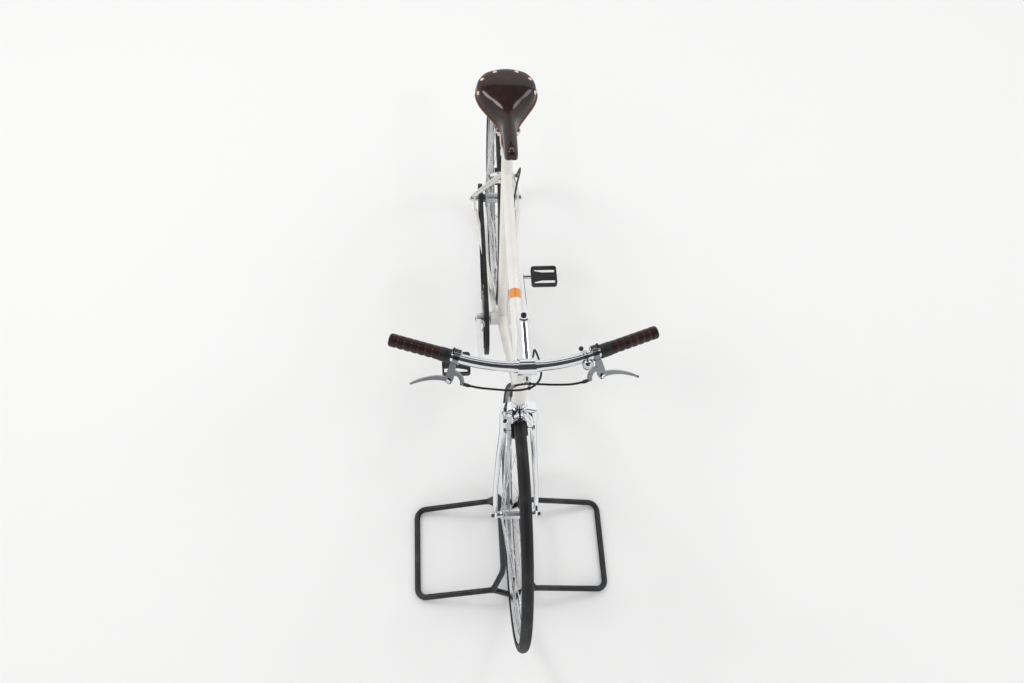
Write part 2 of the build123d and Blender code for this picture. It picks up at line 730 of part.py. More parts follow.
clampBlock += acrossDisc(clampCentre, clampRadius, -railSpread - 7, -railSpread + 2)
clampBlock += acrossDisc(clampCentre, clampRadius, railSpread - 2, railSpread + 7)
clampBlock += acrossDisc(clampCentre, 5, -railSpread - 12, railSpread + 12)


def saddleSection(back, width, depth, drop, shoulder):
    """Closed cross-section of the leather top at a distance behind the nose, with its two hanging skirts."""
    w = width / 2
    top = saddleHeight - drop
    edge = top - depth
    crease = top - depth * 0.3
    with BuildSketch(Plane(origin=(saddleNose - back, 0, 0), x_dir=(0, 1, 0), z_dir=(1, 0, 0))) as section:
        with BuildLine():
            Spline((-w, edge), (-w * shoulder, crease), (0, top), (w * shoulder, crease), (w, edge))
            Line((w, edge), (-w, edge))
        make_face()
    return section.sketch


stations = [
    (0, 22, 19, 9, 0.84), (7, 31, 25, 5, 0.86), (30, 34, 29, 3, 0.84), (80, 38, 34, 5, 0.80),
    (110, 46, 40, 6, 0.68), (134, 68, 44, 6, 0.66), (160, 103, 44, 4, 0.72), (184, 136, 41, 2, 0.78),
    (210, 153, 37, 0, 0.82), (240, 147, 32, 1, 0.84), (264, 112, 25, 4, 0.84), (274, 74, 19, 9, 0.84),
]
leather = loft([saddleSection(*station) for station in stations])
wall = leatherThickness
hollow = []
for back, width, depth, drop, shoulder in stations:
    inside = wall + back * (saddleLength - 2 * wall) / saddleLength
    hollow.append(saddleSection(inside, width - 2 * wall, depth + wall, drop + wall, shoulder))
nodes["saddle_leather"] = leather - loft(hollow)
railNose = Vector(saddleNose - 18, 0, saddleHeight - 32)
railRear = Vector(saddleRear + 24, 0, saddleHeight - 27)
rails = rod(railRear - Vector(0, cantleHalf, 0), railRear + Vector(0, cantleHalf, 0), railRadius + 1)
rails += rod(railNose - Vector(0, railNoseBar, 0), railNose + Vector(0, railNoseBar, 0), railRadius + 1)
for sign in (-1, 1):
    route = [
        railNose + Vector(0, sign * railNoseSpread, 0), Vector(saddleNose - 72, sign * railSpread, railLow),
        Vector(saddleRear + 88, sign * railSpread, railLow), railRear + Vector(0, sign * railRearSpread, 0),
    ]
    rails += tubeAlong(route, railBend, railRadius)
nodes["saddle_rails"] = rails - nodes["saddle_leather"]
nodes["saddle_clamp"] = clampBlock - nodes["saddle_rails"] - nodes["seatpost"]

# Belt drive and cranks
nodes["drive_belt"] = makeBelt()
nodes["belt_ring"] = makeRing()
turn = math.radians(crankAngle)
armDir = Vector(math.cos(turn), 0, math.sin(turn))
armInner = crankOuter - crankThickness


def taperedBar(start, end, startHalf, endHalf, low, high):
    """Flat bar between two points of a plane across the wheel axis."""
    along = (end - start).normalized()
    side = Vector(-along.Z, 0, along.X)
    corners = [start + side * startHalf, end + side * endHalf, end - side * endHalf, start - side * startHalf]
    return xzPrism([(corner.X, corner.Z) for corner in corners], low, high)


def makeArm(side):
    """Crank arm; side is 1 on the left, where the arm points back, and -1 on the right."""
    tip = bracket - armDir * (side * crankLength)
    low, high = sorted((side * armInner, side * crankOuter))
    arm = taperedBar(bracket, tip, crankRootHalf, crankEndRadius, low, high)
    arm += acrossDisc(bracket, crankBossRadius, low, high) + acrossDisc(tip, crankEndRadius, low, high)
    outerFace = arm.faces().sort_by(Axis.Y)[-1 if side > 0 else 0]
    arm = chamfer(outerFace.edges(), crankBevel)
    capLow, capHigh = sorted((side * (armInner + 4), side * (crankOuter + crankCapHeight)))
    return arm + acrossDisc(bracket, crankCapRadius, capLow, capHigh), tip


leftArm, leftTip = makeArm(1)
rightArm, rightTip = makeArm(-1)
webFace = -beltLine - ringWeb / 2
spiderOuter = webFace - spiderThickness
spider = acrossDisc(bracket, crankBossRadius, -armInner, webFace)
for index in range(spiderArms):
    angle = turn + 2 * math.pi * (index + 0.5) / spiderArms
    reach = bracket + Vector(math.cos(angle), 0, math.sin(angle)) * (ringInner + spiderOverlap)
    spider += taperedBar(bracket, reach, spiderRootHalf, spiderTipHalf, spiderOuter, webFace)
    spider += acrossDisc(reach, spiderTipHalf, spiderOuter, webFace)
axleEnd = armInner + 6
axleBar = acrossDisc(bracket, spindleRadius, -axleEnd, axleEnd)
nodes["crank_right"] = rightArm + spider - axleBar
nodes["crank_left"] = leftArm - axleBar
nodes["crank_axle"] = axleBar


def makePedal(tip, side):
    """Platform pedal on its spindle: rails, a middle body that flares inward, and the bore."""
    inner = side * (crankOuter + pedalGap)
    outer = inner + side * pedalWidth
    middle = (inner + outer) / 2
    block = Pos(tip.X, middle, tip.Z) * Box(pedalLength, pedalWidth, pedalThickness)
    block = fillet(block.edges().filter_by(Axis.Z), pedalCorner)
    nearEnd = inner + side * pedalRail * 1.6
    farEnd = outer - side * pedalRail
    rail = pedalLength / 2 - pedalRail
    for sign in (-1, 1):
        window = outlineFace([
            (tip.X + sign * (pedalBodyHalf + pedalFlare), nearEnd), (tip.X + sign * rail, nearEnd),
            (tip.X + sign * rail, farEnd), (tip.X + sign * pedalBodyHalf, farEnd),
            (tip.X + sign * pedalBodyHalf, nearEnd + side * pedalWidth * 0.3),
        ])
        block -= Pos(0, 0, tip.Z - pedalThickness) * extrude(window, amount=2 * pedalThickness, dir=(0, 0, 1))
    low, high = sorted((inner - side, outer - side * 8))
    return block - acrossDisc(tip, pedalSpindleRadius + runningFit, low, high)


def makeSpindle(tip, side):
    end = side * (crankOuter + pedalGap + pedalWidth - 9)
    low, high = sorted((side * crankOuter, end))
    collarLow, collarHigh = sorted((side * crankOuter, side * (crankOuter + pedalGap - 1)))
    spindle = acrossDisc(tip, pedalSpindleRadius, low, high)
    return spindle + acrossDisc(tip, pedalCollarRadius, collarLow, collarHigh)


nodes["pedal_left"] = makePedal(leftTip, 1)
nodes["pedal_right"] = makePedal(rightTip, -1)
nodes["pedal_spindles"] = Compound([makeSpindle(leftTip, 1), makeSpindle(rightTip, -1)])


# Floor stand
def standPoint(along, side, height):
    return Vector(half + along, side, height)


wingRoute = [
    standPoint(standFront, 0, standTube), standPoint(standFront, 14, standTube),
    standPoint(standFront, standInner, standInnerHeight), standPoint(standFront, standHalf, standTube),
    standPoint(standRear, standHalf, standTube), standPoint(standRear, standInner, standInnerHeight),
    standPoint(standRear, 14, standTube), standPoint(standRear, 0, standTube),
]
wing = tubeAlong(wingRoute, [8, 18, standCorner, standCorner, 18, 8], standTube)
hoopSide = tyreWidth / 2 + hoopGap + standTube
hoopRoute = [
    standPoint(standFront, standInner, standInnerHeight), standPoint(hoopFront, hoopSide, hoopHeight),
    standPoint(hoopRear, hoopSide, hoopHeight), standPoint(standRear, standInner, standInnerHeight),
]
hoop = tubeAlong(hoopRoute, 24, standTube)
nodes["stand_wing_left"] = wing
nodes["stand_wing_right"] = mirrored(wing)
nodes["stand_hoop_left"] = hoop - wing
nodes["stand_hoop_right"] = mirrored(nodes["stand_hoop_left"])


# Rim brakes
def makeCaliper(axle, upward, outward, seatOffset, cableArmSide):
    """Side-pull caliper over the tyre: two curved arms in layers on one bolt, with their pads and cable end."""
    radial = Plane(origin=axle, x_dir=(0, 1, 0), z_dir=outward)
    sign = 1 if radial.y_dir.dot(upward) > 0 else -1
    pivotAt = wheelRadius + pivotAboveTyre
    archAt = pivotAt - armRadius
    padAt = rimSeatRadius + rimWallHeight - padDrop
    inner = rimWidth / 2 + padGap
    padBack = inner + padThickness
    pieces = []
    pads = []
    for side, layer in ((1, 0), (-1, 1)):
        legHigh = side * (armRadius + armTipHalf)
        legLow = side * (armRadius - armTipHalf)
        arch = Pos(0, sign * archAt) * (Circle(armRadius + armRootHalf) - Circle(armRadius - armRootHalf))
        quarter = armRadius + armRootHalf
        arch &= Pos(side * quarter / 2, sign * (archAt + quarter / 2)) * Rectangle(quarter, quarter)
        leg = outlineFace([
            (side * (armRadius + armRootHalf), sign * archAt), (legHigh, sign * (padAt - 6)),
            (legLow, sign * (padAt - 6)), (side * (armRadius - armRootHalf), sign * archAt),
        ])
        hub = Pos(0, sign * pivotAt) * Circle(armRootHalf + 3)
        outline = arch + leg + hub
        if side == cableArmSide:
            outline += outlineFace([
                (side * 10, sign * (pivotAt - 5)), (side * 14, sign * (pivotAt + 6)),
                (side * (cableArmReach + 5), sign * (pivotAt + cableArmRise + 4)),
                (side * (cableArmReach + 5), sign * (pivotAt + cableArmRise - 5)), (side * 26, sign * (pivotAt - 8)),
            ])
        depth = seatOffset + armSeatGap + layer * armThickness
        pieces.append(radial.offset(depth) * extrude(outline, amount=armThickness))
        shoeAt = axle + upward * padAt + outward * (depth + armThickness / 2)
        shoeEnd = shoeAt + Vector(0, side * (armRadius + 8), 0)
        pieces.append(rod(shoeAt + Vector(0, side * padBack, 0), shoeEnd, shoeBoltRadius))
        padCentre = shoeAt + Vector(0, side * (inner + padThickness / 2), 0)
        padPlane = Plane(origin=padCentre, x_dir=(0, 1, 0), z_dir=outward)
        pads.append(padPlane * Box(padThickness, padHeight, padLength))
    pivotPoint = axle + upward * pivotAt
    anchorDepth = seatOffset + armSeatGap + armThickness * (0.5 if cableArmSide > 0 else 1.5)
    anchor = axle + upward * (pivotAt + cableArmRise) + outward * anchorDepth
    anchor += Vector(0, cableArmSide * cableArmReach, 0)
    barrelTop = anchor + upward * anchorBarrel
    boltEnd = seatOffset + armSeatGap + 2 * armThickness + 8
    pieces.append(rod(anchor - upward * 5, barrelTop, barrelRadius - 0.5))
    pieces.append(rod(pivotPoint + outward * seatOffset, pivotPoint + outward * boltEnd, pivotBoltRadius))
    return Part() + pieces, Compound(pads), barrelTop


frontSeat = -forkRake + crownDepth / 2
frontCaliper, frontPads, frontAnchor = makeCaliper(frontAxle, headDir, headNormal, frontSeat, -1)
nodes["brake_front"] = frontCaliper - nodes["fork_crown"]
nodes["front_brake_pads"] = frontPads
stayDir = Vector(stayTop.X - stayFoot.X, 0, stayTop.Z - stayFoot.Z).normalized()
stayBack = Vector(-stayDir.Z, 0, stayDir.X)
stayLift = (stayFoot - rearAxle).dot(stayBack)
bridgeAt = rearAxle + stayBack * stayLift + stayDir * (wheelRadius + pivotAboveTyre)
bridge = rod(bridgeAt - Vector(0, 27, 0), bridgeAt + Vector(0, 27, 0), bridgeRadius)
nodes["seatstay_bridge"] = bridge - nodes["seatstay_left"] - nodes["seatstay_right"]
rearCaliper, rearPads, rearAnchor = makeCaliper(rearAxle, stayDir, stayBack, stayLift + bridgeRadius, 1)
for part in ("seatstay_bridge", "seatstay_left", "seatstay_right"):
    rearCaliper -= nodes[part]
nodes["brake_rear"] = rearCaliper
nodes["rear_brake_pads"] = rearPads


# Brake cables
def cornerRadii(points):
    radii = []
    for before, here, after in zip(points, points[1:], points[2:]):
        shorter = min((here - before).length, (after - here).length)
        halfTurn = math.radians((here - before).get_angle(after - here)) / 2
        radii.append(0.45 * shorter / math.tan(halfTurn))
    return radii


def makeCable(points):
    points = [Vector(*point) for point in points]
    return tubeAlong(points, cornerRadii(points), cableRadius)


frontCablePoints = [
    barrelEnd, barrelEnd - barTurn * cableLead, (390, 62, 868), (386, 30, 865), (381, -2, 860), (380, -28, 846),
    (383, -36, 818), (388, -37, 780), (386, -37, 742), frontAnchor + headDir * cableDrop, frontAnchor,
]
nodes["front_brake_cable"] = makeCable(frontCablePoints)
rightBarrel = Vector(barrelEnd.X, -barrelEnd.Y, barrelEnd.Z)
rightTurn = Vector(barTurn.X, -barTurn.Y, barTurn.Z)
crossing = onHead(crossingHeight) + Vector(0, crossingSide, 0)
rearLoopPoints = [
    rightBarrel, rightBarrel - rightTurn * cableLead, (394, -66, 864), (394, -36, 856), (392, -6, 851), (384, 20, 850),
    (364, 36, 850), (336, 37, 851), (306, 31, 849), crossing + headDir * crossingLead, crossing,
]
nodes["rear_cable_loop"] = makeCable(rearLoopPoints)


def underTop(x):
    """Place of the cable at X = x, to the lower left of the top tube."""
    share = (x - topRear.X) / (topFront.X - topRear.X)
    return (x, cableSide, topRear.Z + (topFront.Z - topRear.Z) * share - cableBelow)


belowCrossing = crossing - headDir * crossingGap
rearCablePoints = [
    belowCrossing, belowCrossing - headDir * crossingLead, (285, 22.5, 792), (264, 19, 773), (241, 18, 757),
    underTop(cableFrontX), underTop(cableRearX), (-200, 19, 757), (-235, 27, 757), (-272, 36, 748), (-308, 42, 730),
    rearAnchor + stayDir * cableDrop, rearAnchor,
]
nodes["rear_brake_cable"] = makeCable(rearCablePoints)

os.makedirs("parts", exist_ok=True)
for name, shape in nodes.items():
    export_step(shape, "parts/" + name + ".step")
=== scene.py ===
import bpy
import bmesh
import json
import math
from mathutils import Matrix, Vector


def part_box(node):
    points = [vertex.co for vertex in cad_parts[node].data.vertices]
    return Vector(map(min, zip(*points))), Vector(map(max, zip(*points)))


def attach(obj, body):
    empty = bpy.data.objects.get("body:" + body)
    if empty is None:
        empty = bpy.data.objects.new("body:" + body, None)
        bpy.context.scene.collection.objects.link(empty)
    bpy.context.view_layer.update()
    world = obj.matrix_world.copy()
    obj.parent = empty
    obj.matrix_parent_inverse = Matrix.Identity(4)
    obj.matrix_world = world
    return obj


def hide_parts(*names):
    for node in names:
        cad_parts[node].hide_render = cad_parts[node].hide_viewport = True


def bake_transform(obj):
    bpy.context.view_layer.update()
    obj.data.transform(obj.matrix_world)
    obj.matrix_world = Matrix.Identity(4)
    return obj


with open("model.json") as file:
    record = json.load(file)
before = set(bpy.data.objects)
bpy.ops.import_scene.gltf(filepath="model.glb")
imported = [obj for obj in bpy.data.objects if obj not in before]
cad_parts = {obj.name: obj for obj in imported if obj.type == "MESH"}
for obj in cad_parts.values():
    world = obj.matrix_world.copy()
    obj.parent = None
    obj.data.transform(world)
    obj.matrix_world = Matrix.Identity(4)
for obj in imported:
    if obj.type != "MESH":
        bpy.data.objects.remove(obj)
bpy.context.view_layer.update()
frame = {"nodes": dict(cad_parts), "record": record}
nodes = frame["nodes"]
record = frame["record"]
scene = bpy.context.scene
scene.view_settings.view_transform = "Standard"
turnAt = {joint["name"]: Vector(joint["pos_m"]) for joint in record["behaviour"]["joints"]}
frontAxle = turnAt["front_wheel_spin"]
rearAxle = turnAt["rear_wheel_spin"]
bracket = turnAt["crank_spin"]
headDir = Vector(next(j["axis"] for j in record["behaviour"]["joints"] if j["name"] == "steering"))
headFront = Vector((0, 1, 0)).cross(headDir)
gripMount = {mount["name"]: mount for mount in record["mounts"]}
barTurn = Vector(gripMount["grip_end_left"]["axis"])
print("frame loaded,", len(nodes), "nodes")


# a socket that can be used in ordinary sums; each sum adds its Math node
class Wire:
    def __init__(self, tree, socket):
        self.tree = tree
        self.socket = socket

    def node(self, kind, settings=None, out=0, **values):
        made = self.tree.nodes.new("ShaderNode" + kind)
        for key, value in (settings or {}).items():
            setattr(made, key, value)
        for key, value in values.items():
            socket = made.inputs[int(key[1:])] if key[1:].isdigit() else made.inputs[key]
            if isinstance(value, Wire):
                self.tree.links.new(value.socket, socket)
            elif socket.type == "RGBA":
                socket.default_value = (*value, 1)
            else:
                socket.default_value = value
        return Wire(self.tree, made.outputs[out])

    def sum(self, operation, first, second=0.0, third=0.0):
        return self.node("Math", {"operation": operation}, i0=first, i1=second, i2=third)

    def __add__(self, other):
        return self.sum("ADD", self, other)

    def __radd__(self, other):
        return self.sum("ADD", other, self)

    def __sub__(self, other):
        return self.sum("SUBTRACT", self, other)

    def __rsub__(self, other):
        return self.sum("SUBTRACT", other, self)

    def __mul__(self, other):
        return self.sum("MULTIPLY", self, other)

    def __rmul__(self, other):
        return self.sum("MULTIPLY", other, self)

    def __gt__(self, other):
        return self.sum("GREATER_THAN", self, other)

    def __lt__(self, other):
        return self.sum("LESS_THAN", self, other)

    def ramp(self, low, high):  # 0 at low, 1 at high, smooth between
        settings = {"interpolation_type": "SMOOTHSTEP"}
        return self.node("MapRange", settings, i0=self, i1=low, i2=high, i3=0.0, i4=1.0)

    def mix(self, first, second):  # this wire is the share of the second colour
        return self.node("Mix", {"data_type": "RGBA"}, 2, i0=self, i6=first, i7=second)

    def part(self, index):
        return self.node("SeparateXYZ", None, index, i0=self)

    def stretched(self, stretch):
        return self.node("VectorMath", {"operation": "MULTIPLY"}, i0=self, i1=stretch)

    def noise(self, scale, detail=3.0, roughness=0.55):
        return self.node("TexNoise", None, Vector=self, Scale=scale, Detail=detail, Roughness=roughness)

    def cells(self, scale, feature="F1"):
        return self.node("TexVoronoi", {"feature": feature}, Vector=self, Scale=scale)


class Surface:  # one material: fixed sockets first, then what varies over the surface
    def __init__(self, name, **fixed):
        self.material = bpy.data.materials.new(name)
        self.material.use_nodes = True
        self.tree = self.material.node_tree
        self.shader = self.tree.nodes["Principled BSDF"]
        for key, value in fixed.items():
            self.shader.inputs[key.replace("_", " ")].default_value = value
        self.start = Wire(self.tree, None)
        self.place = self.start.node("TexCoord", None, 3)

    def varies(self, **wires):
        for key, wire in wires.items():
            self.tree.links.new(wire.socket, self.shader.inputs[key.replace("_", " ")])
        return self

    def bump(self, height, distance, strength=1.0):
        relief = self.start.node("Bump", None, Height=height, Distance=distance, Strength=strength)
        return self.varies(Normal=relief)


view = {
    "position": (1.1348, -0.1553, 2.4778), "azimuth": -8.83, "elevation": 61.86, "roll": -6.14, "lens": 29.81,
}


def placeCamera():
    around, up, roll = (math.radians(view[key]) for key in ("azimuth", "elevation", "roll"))
    ahead = Vector((-math.cos(up) * math.cos(around), -math.cos(up) * math.sin(around), -math.sin(up)))
    levelRight = ahead.cross(Vector((0, 0, 1))).normalized()
    right = levelRight * math.cos(roll) + ahead.cross(levelRight) * math.sin(roll)
    down = ahead.cross(right)
    lens = bpy.data.cameras.new("camera")
    lens.lens = view["lens"]
    lens.sensor_width = 36
    lens.clip_end = 200
    eye = bpy.data.objects.new("camera", lens)
    facing = Matrix((right, -down, -ahead)).transposed().to_4x4()
    eye.matrix_world = Matrix.Translation(view["position"]) @ facing
    scene.collection.objects.link(eye)
    scene.camera = eye


placeCamera()
print("camera placed")


# small helpers for meshes; every piece but the rear cable ends in addPiece
def addPiece(name, mesh, body, material, smooth=True):
    piece = bpy.data.objects.new(name, mesh)
    scene.collection.objects.link(piece)
    if material:
        mesh.materials.append(material)
    if smooth and isinstance(mesh, bpy.types.Mesh):
        mesh.shade_smooth()
    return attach(piece, body)


def meshFrom(name, verts, faces):
    mesh = bpy.data.meshes.new(name)
    mesh.from_pydata([tuple(v) for v in verts], [], faces)
    mesh.update()
    return mesh


def toward(at, direction):  # matrix whose z runs along the direction
    return Matrix.Translation(at) @ Vector(direction).to_track_quat("Z", "Y").to_matrix().to_4x4()


def turned(profile, segments, at, direction, verts, faces):  # (height, radius) points turned about an axis
    place = toward(at, direction)
    first = len(verts)
    for height, radius in profile:
        for step in range(segments):
            turn = 2 * math.pi * step / segments
            verts.append(place @ Vector((radius * math.cos(turn), radius * math.sin(turn), height)))
    for row in range(len(profile) - 1):
        for step in range(segments):
            a = first + row * segments + step
            b = first + row * segments + (step + 1) % segments
            faces.append((a, b, b + segments, a + segments))


class Batch:  # many small turned parts kept in one mesh
    def __init__(self):
        self.verts = []
        self.faces = []

    def add(self, profile, at, direction, segments=16):
        turned(profile, segments, at, direction, self.verts, self.faces)
        return self

    def put(self, name, body, slotName, material, crease=35):
        mesh = meshFrom(name, self.verts, self.faces)
        piece = addPiece(name, mesh, body, material)
        mesh.set_sharp_from_angle(angle=math.radians(crease))
        return piece


def domed(radius, height, rim=0.35):  # a button head that closes at its top
    return [
        (0, radius), (height * rim, radius), (height * 0.8, radius * 0.8), (height, radius * 0.45),
        (height, 0.00001),
    ]


def socketHead(radius, height):  # a round head with a recess for a key
    inner = radius * 0.5
    return [
        (0, radius), (height * 0.8, radius), (height, radius * 0.86), (height, inner), (height * 0.35, inner),
        (height * 0.35, 0.00001),
    ]


def lineCurve(name, points, radius, closed=False, fine=8):
    curve = bpy.data.curves.new(name, "CURVE")
    curve.dimensions = "3D"
    curve.bevel_depth = radius
    curve.bevel_resolution = 3
    curve.resolution_u = fine
    line = curve.splines.new("NURBS")
    line.points.add(len(points) - 1)
    for point, place in zip(line.points, points):
        point.co = (*place, 1)
    line.order_u = 3
    line.use_endpoint_u = not closed
    line.use_cyclic_u = closed
    curve.use_fill_caps = not closed
    return curve


studio = {
    "floorColour": (0.93, 0.93, 0.925), "floorSize": 60.0, "skyStrength": 0.88,
    "keySize": 0.9, "keyWatts": 22.0,
    "keyPlace": (-1.2, -2.2, 3.6), "fillWatts": 12.0, "fillPlace": (-1.6, 2.4, 3.4), "ceilingHeight": 4.4,
    "ceilingStrips": [(-3.6, -1.1), (-0.2, 9.0)], "ceilingHalf": 4.6, "ceilingColour": (0.035, 0.038, 0.045),
    "flagSpan": (-1.3, 1.3), "flagSides": [(0.20, 0.34), (-0.34, -0.20)], "flagHeight": 0.002,
}


def flatMesh(name, lowX, highX, lowY, highY, height):
    corners = [(lowX, lowY, height), (highX, lowY, height), (highX, highY, height), (lowX, highY, height)]
    return meshFrom(name, corners, [(0, 1, 2, 3)])


def makeStudio():
    world = bpy.data.worlds.new("studioSky")
    scene.world = world
    world.use_nodes = True
    tree = world.node_tree
    back = tree.nodes["Background"]
    back.inputs["Color"].default_value = (1, 1, 1, 1)
    seen = Wire(tree, None).node("LightPath", None, "Is Camera Ray")
    path = seen.socket.node
    mirrorRays = Wire(tree, path.outputs["Is Glossy Ray"]) + Wire(tree, path.outputs["Is Transmission Ray"])
    shown = (seen + mirrorRays).ramp(0, 1)
    strength = shown * (1.0 - studio["skyStrength"]) + studio["skyStrength"]
    tree.links.new(strength.socket, back.inputs["Strength"])
    for name in ("key", "fill"):
        lamp = bpy.data.lights.new(name, "AREA")
        lamp.shape = "DISK"
        lamp.size = studio["keySize"]
        lamp.energy = studio[name + "Watts"]
        holder = bpy.data.objects.new(name, lamp)
        holder.location = studio[name + "Place"]
        aim = Vector((0, 0, 0.4)) - Vector(studio[name + "Place"])
        holder.rotation_euler = aim.to_track_quat("-Z", "Y").to_euler()
        scene.collection.objects.link(holder)
    side = studio["floorSize"] / 2
    paper = Surface("floorPaper", Roughness=0.8)
    patches = paper.place.noise(1.3, 2.0)
    darker = tuple(c * 0.985 for c in studio["floorColour"])
    paper.varies(Base_Color=patches.mix(studio["floorColour"], darker))
    card = Surface("ceilingCard", Roughness=0.9)
    shade = card.place.noise(0.8, 2.0)
    lighter = tuple(c * 1.5 for c in studio["ceilingColour"])
    card.varies(Base_Color=shade.mix(studio["ceilingColour"], lighter))
    spans = [("floor", -side, side, -side, side, 0.0, paper)]
    half = studio["ceilingHalf"]
    for low, high in studio["ceilingStrips"]:
        spans.append(("card", low, high, -half, half, studio["ceilingHeight"], card))
    for low, high in studio["flagSides"]:
        spans.append(("card", *studio["flagSpan"], low, high, studio["flagHeight"], card))
    for name, lowX, highX, lowY, highY, height, surface in spans:
        flat = bpy.data.objects.new(name, flatMesh(name, lowX, highX, lowY, highY, height))
        flat.data.materials.append(surface.material)
        scene.collection.objects.link(flat)
        for ray in ("camera", "diffuse", "shadow"):  # only polished surfaces see the dark cards
            if name == "card":
                setattr(flat, "visible_" + ray, False)


makeStudio()
print("studio ready")

paints = {
    "cream": (0.845, 0.82, 0.77), "band": (0.86, 0.30, 0.04), "bandStart": 0.0935, "bandLength": 0.025,
    "standBlack": (0.020, 0.022, 0.026),
}


def creamPaint(name="creamPaint", banded=False):
    made = Surface(name, IOR=1.5, Coat_Weight=0.7, Coat_Roughness=0.05)
    dust = made.place.noise(26.0, 4.0)
    peel = made.place.noise(900.0, 1.0)
    dark = tuple(c * 0.94 for c in paints["cream"])
    colour = dust.ramp(0.35, 0.75).mix(paints["cream"], dark)
    if banded:
        along = made.place.part(0)
        inside = (along > paints["bandStart"]) * (along < paints["bandStart"] + paints["bandLength"])
        worn = made.place.noise(160.0, 3.0).ramp(0.3, 0.8)
        colour = inside.mix(colour, worn.mix(paints["band"], tuple(c * 0.8 for c in paints["band"])))
    made.varies(Base_Color=colour, Roughness=dust * 0.12 + 0.24)
    return made.bump(peel, 0.00005, 0.35).material


def brightMetal(name, colour, rough, grain, spread=0.12, wear=0.25):
    made = Surface(name, Metallic=1.0)
    scratches = made.place.stretched(grain).noise(240.0, 3.0, 0.6)
    haze = made.place.noise(14.0, 3.0)
    dull = tuple(c * (1 - wear) for c in colour)
    rough = haze * spread + scratches * 0.06 + rough
    made.varies(Base_Color=haze.ramp(0.4, 0.8).mix(colour, dull), Roughness=rough)
    return made.bump(scratches, 0.00002, 0.25).material


def blackCoat(name, colour, rough, scale, depth):
    made = Surface(name, IOR=1.45, Specular_IOR_Level=0.45)
    grain = made.place.noise(scale, 3.0)
    dust = made.place.noise(18.0, 4.0)
    pale = tuple(c * 1.8 + 0.01 for c in colour)
    made.varies(Base_Color=dust.ramp(0.45, 0.8).mix(colour, pale), Roughness=grain * 0.14 + rough)
    return made.bump(grain, depth, 0.6).material


def waxedLeather(name, dark, light, creaseScale, coat=0.6):
    made = Surface(name, IOR=1.42, Specular_IOR_Level=0.15, Coat_Weight=coat, Coat_Roughness=0.12)
    pores = made.place.cells(creaseScale, "DISTANCE_TO_EDGE").ramp(0.0, 0.07)
    fine = made.place.noise(creaseScale * 2.3, 4.0, 0.65)
    creases = made.place.stretched((1.0, 0.35, 1.0)).noise(55.0, 5.0, 0.7)
    wear = (made.place.noise(22.0, 5.0, 0.6) * 0.6 + creases * 0.4).ramp(0.42, 0.66)
    made.varies(Base_Color=wear.mix(dark, light), Roughness=fine * 0.16 + wear * 0.1 + 0.24)
    return made.bump(pores * 0.6 + fine * 0.5 + creases * 1.4, 0.0003, 0.55).material


def cutEdge():  # the raw edge of thick leather: fibres in layers
    made = Surface("leatherEdge", Roughness=0.62, Specular_IOR_Level=0.3)
    fibres = made.place.stretched((1.0, 1.0, 6.0)).noise(420.0, 4.0, 0.7)
    made.varies(Base_Color=fibres.ramp(0.25, 0.75).mix((0.52, 0.22, 0.085), (0.30, 0.115, 0.045)))
    return made.bump(fibres, 0.0003, 0.8).material


cream = creamPaint()
bandedCream = creamPaint("bandedCream", True)
chrome = brightMetal("chromePlate", (0.86, 0.87, 0.89), 0.02, (1, 1, 1), 0.05, 0.06)
polished = brightMetal("polishedAlloy", (0.80, 0.81, 0.83), 0.07, (1, 5, 1), 0.08, 0.1)
rimMetal = brightMetal("rimAlloy", (0.78, 0.79, 0.81), 0.16, (1, 9, 1), 0.12)
hubMetal = brightMetal("hubSteel", (0.76, 0.77, 0.79), 0.12, (1, 6, 1), 0.12)
copper = brightMetal("copperRivet", (0.90, 0.66, 0.54), 0.16, (1, 1, 1), 0.16)
leverMetal = brightMetal("leverAlloy", (0.25, 0.26, 0.28), 0.14, (1, 4, 1), 0.12)
# the bell is chrome like its rim; this copy is darkened to 0.62 as painted shade on the dome and its
# underside
shadedBellChrome = brightMetal("bellChromePaintedShade", (0.62, 0.63, 0.66), 0.06, (1, 1, 1), 0.08)
darkBrass = brightMetal("darkBrass", (0.30, 0.21, 0.11), 0.28, (1, 1, 1), 0.16)
blackAlloy = blackCoat("blackAlloy", (0.016, 0.016, 0.018), 0.30, 700.0, 0.00004)
standBlack = blackCoat("standPowder", paints["standBlack"], 0.30, 900.0, 0.00008)
resin = blackCoat("pedalResin", (0.02, 0.02, 0.021), 0.42, 1100.0, 0.0001)
housing = blackCoat("cableHousing", (0.010, 0.010, 0.011), 0.28, 1200.0, 0.00003)
padRubber = blackCoat("padRubber", (0.02, 0.02, 0.02), 0.6, 1300.0, 0.0001)
beltRubber = blackCoat("beltRubber", (0.014, 0.014, 0.015), 0.5, 1400.0, 0.0001)
tyreBlack = blackCoat("tyreRubber", (0.013, 0.013, 0.014), 0.5, 1500.0, 0.00012)
bootGrey = blackCoat("cableBoot", (0.20, 0.20, 0.21), 0.45, 1000.0, 0.00005)
leather = waxedLeather("saddleLeather", (0.017, 0.0055, 0.0055), (0.034, 0.0115, 0.0105), 900.0)
gripLeather = waxedLeather("gripLeather", (0.020, 0.0065, 0.0065), (0.042, 0.0145, 0.013), 1100.0, 0.4)
rawEdge = cutEdge()
finishes = {
    "frame_paint": cream, "chrome": chrome, "polished_alloy": polished, "tyre_rubber": tyreBlack,
    "rim_alloy": rimMetal, "hub_steel": hubMetal, "belt_rubber": beltRubber, "black_alloy": blackAlloy,
    "brown_leather": leather, "brass_parts": copper, "pad_rubber": padRubber, "cable_housing": housing,
    "stand_paint": standBlack, "pedal_resin": resin,
}
special = {
    "top_tube": bandedCream, "brake_lever_left": leverMetal, "brake_lever_right": leverMetal,
    "bell": shadedBellChrome,
}
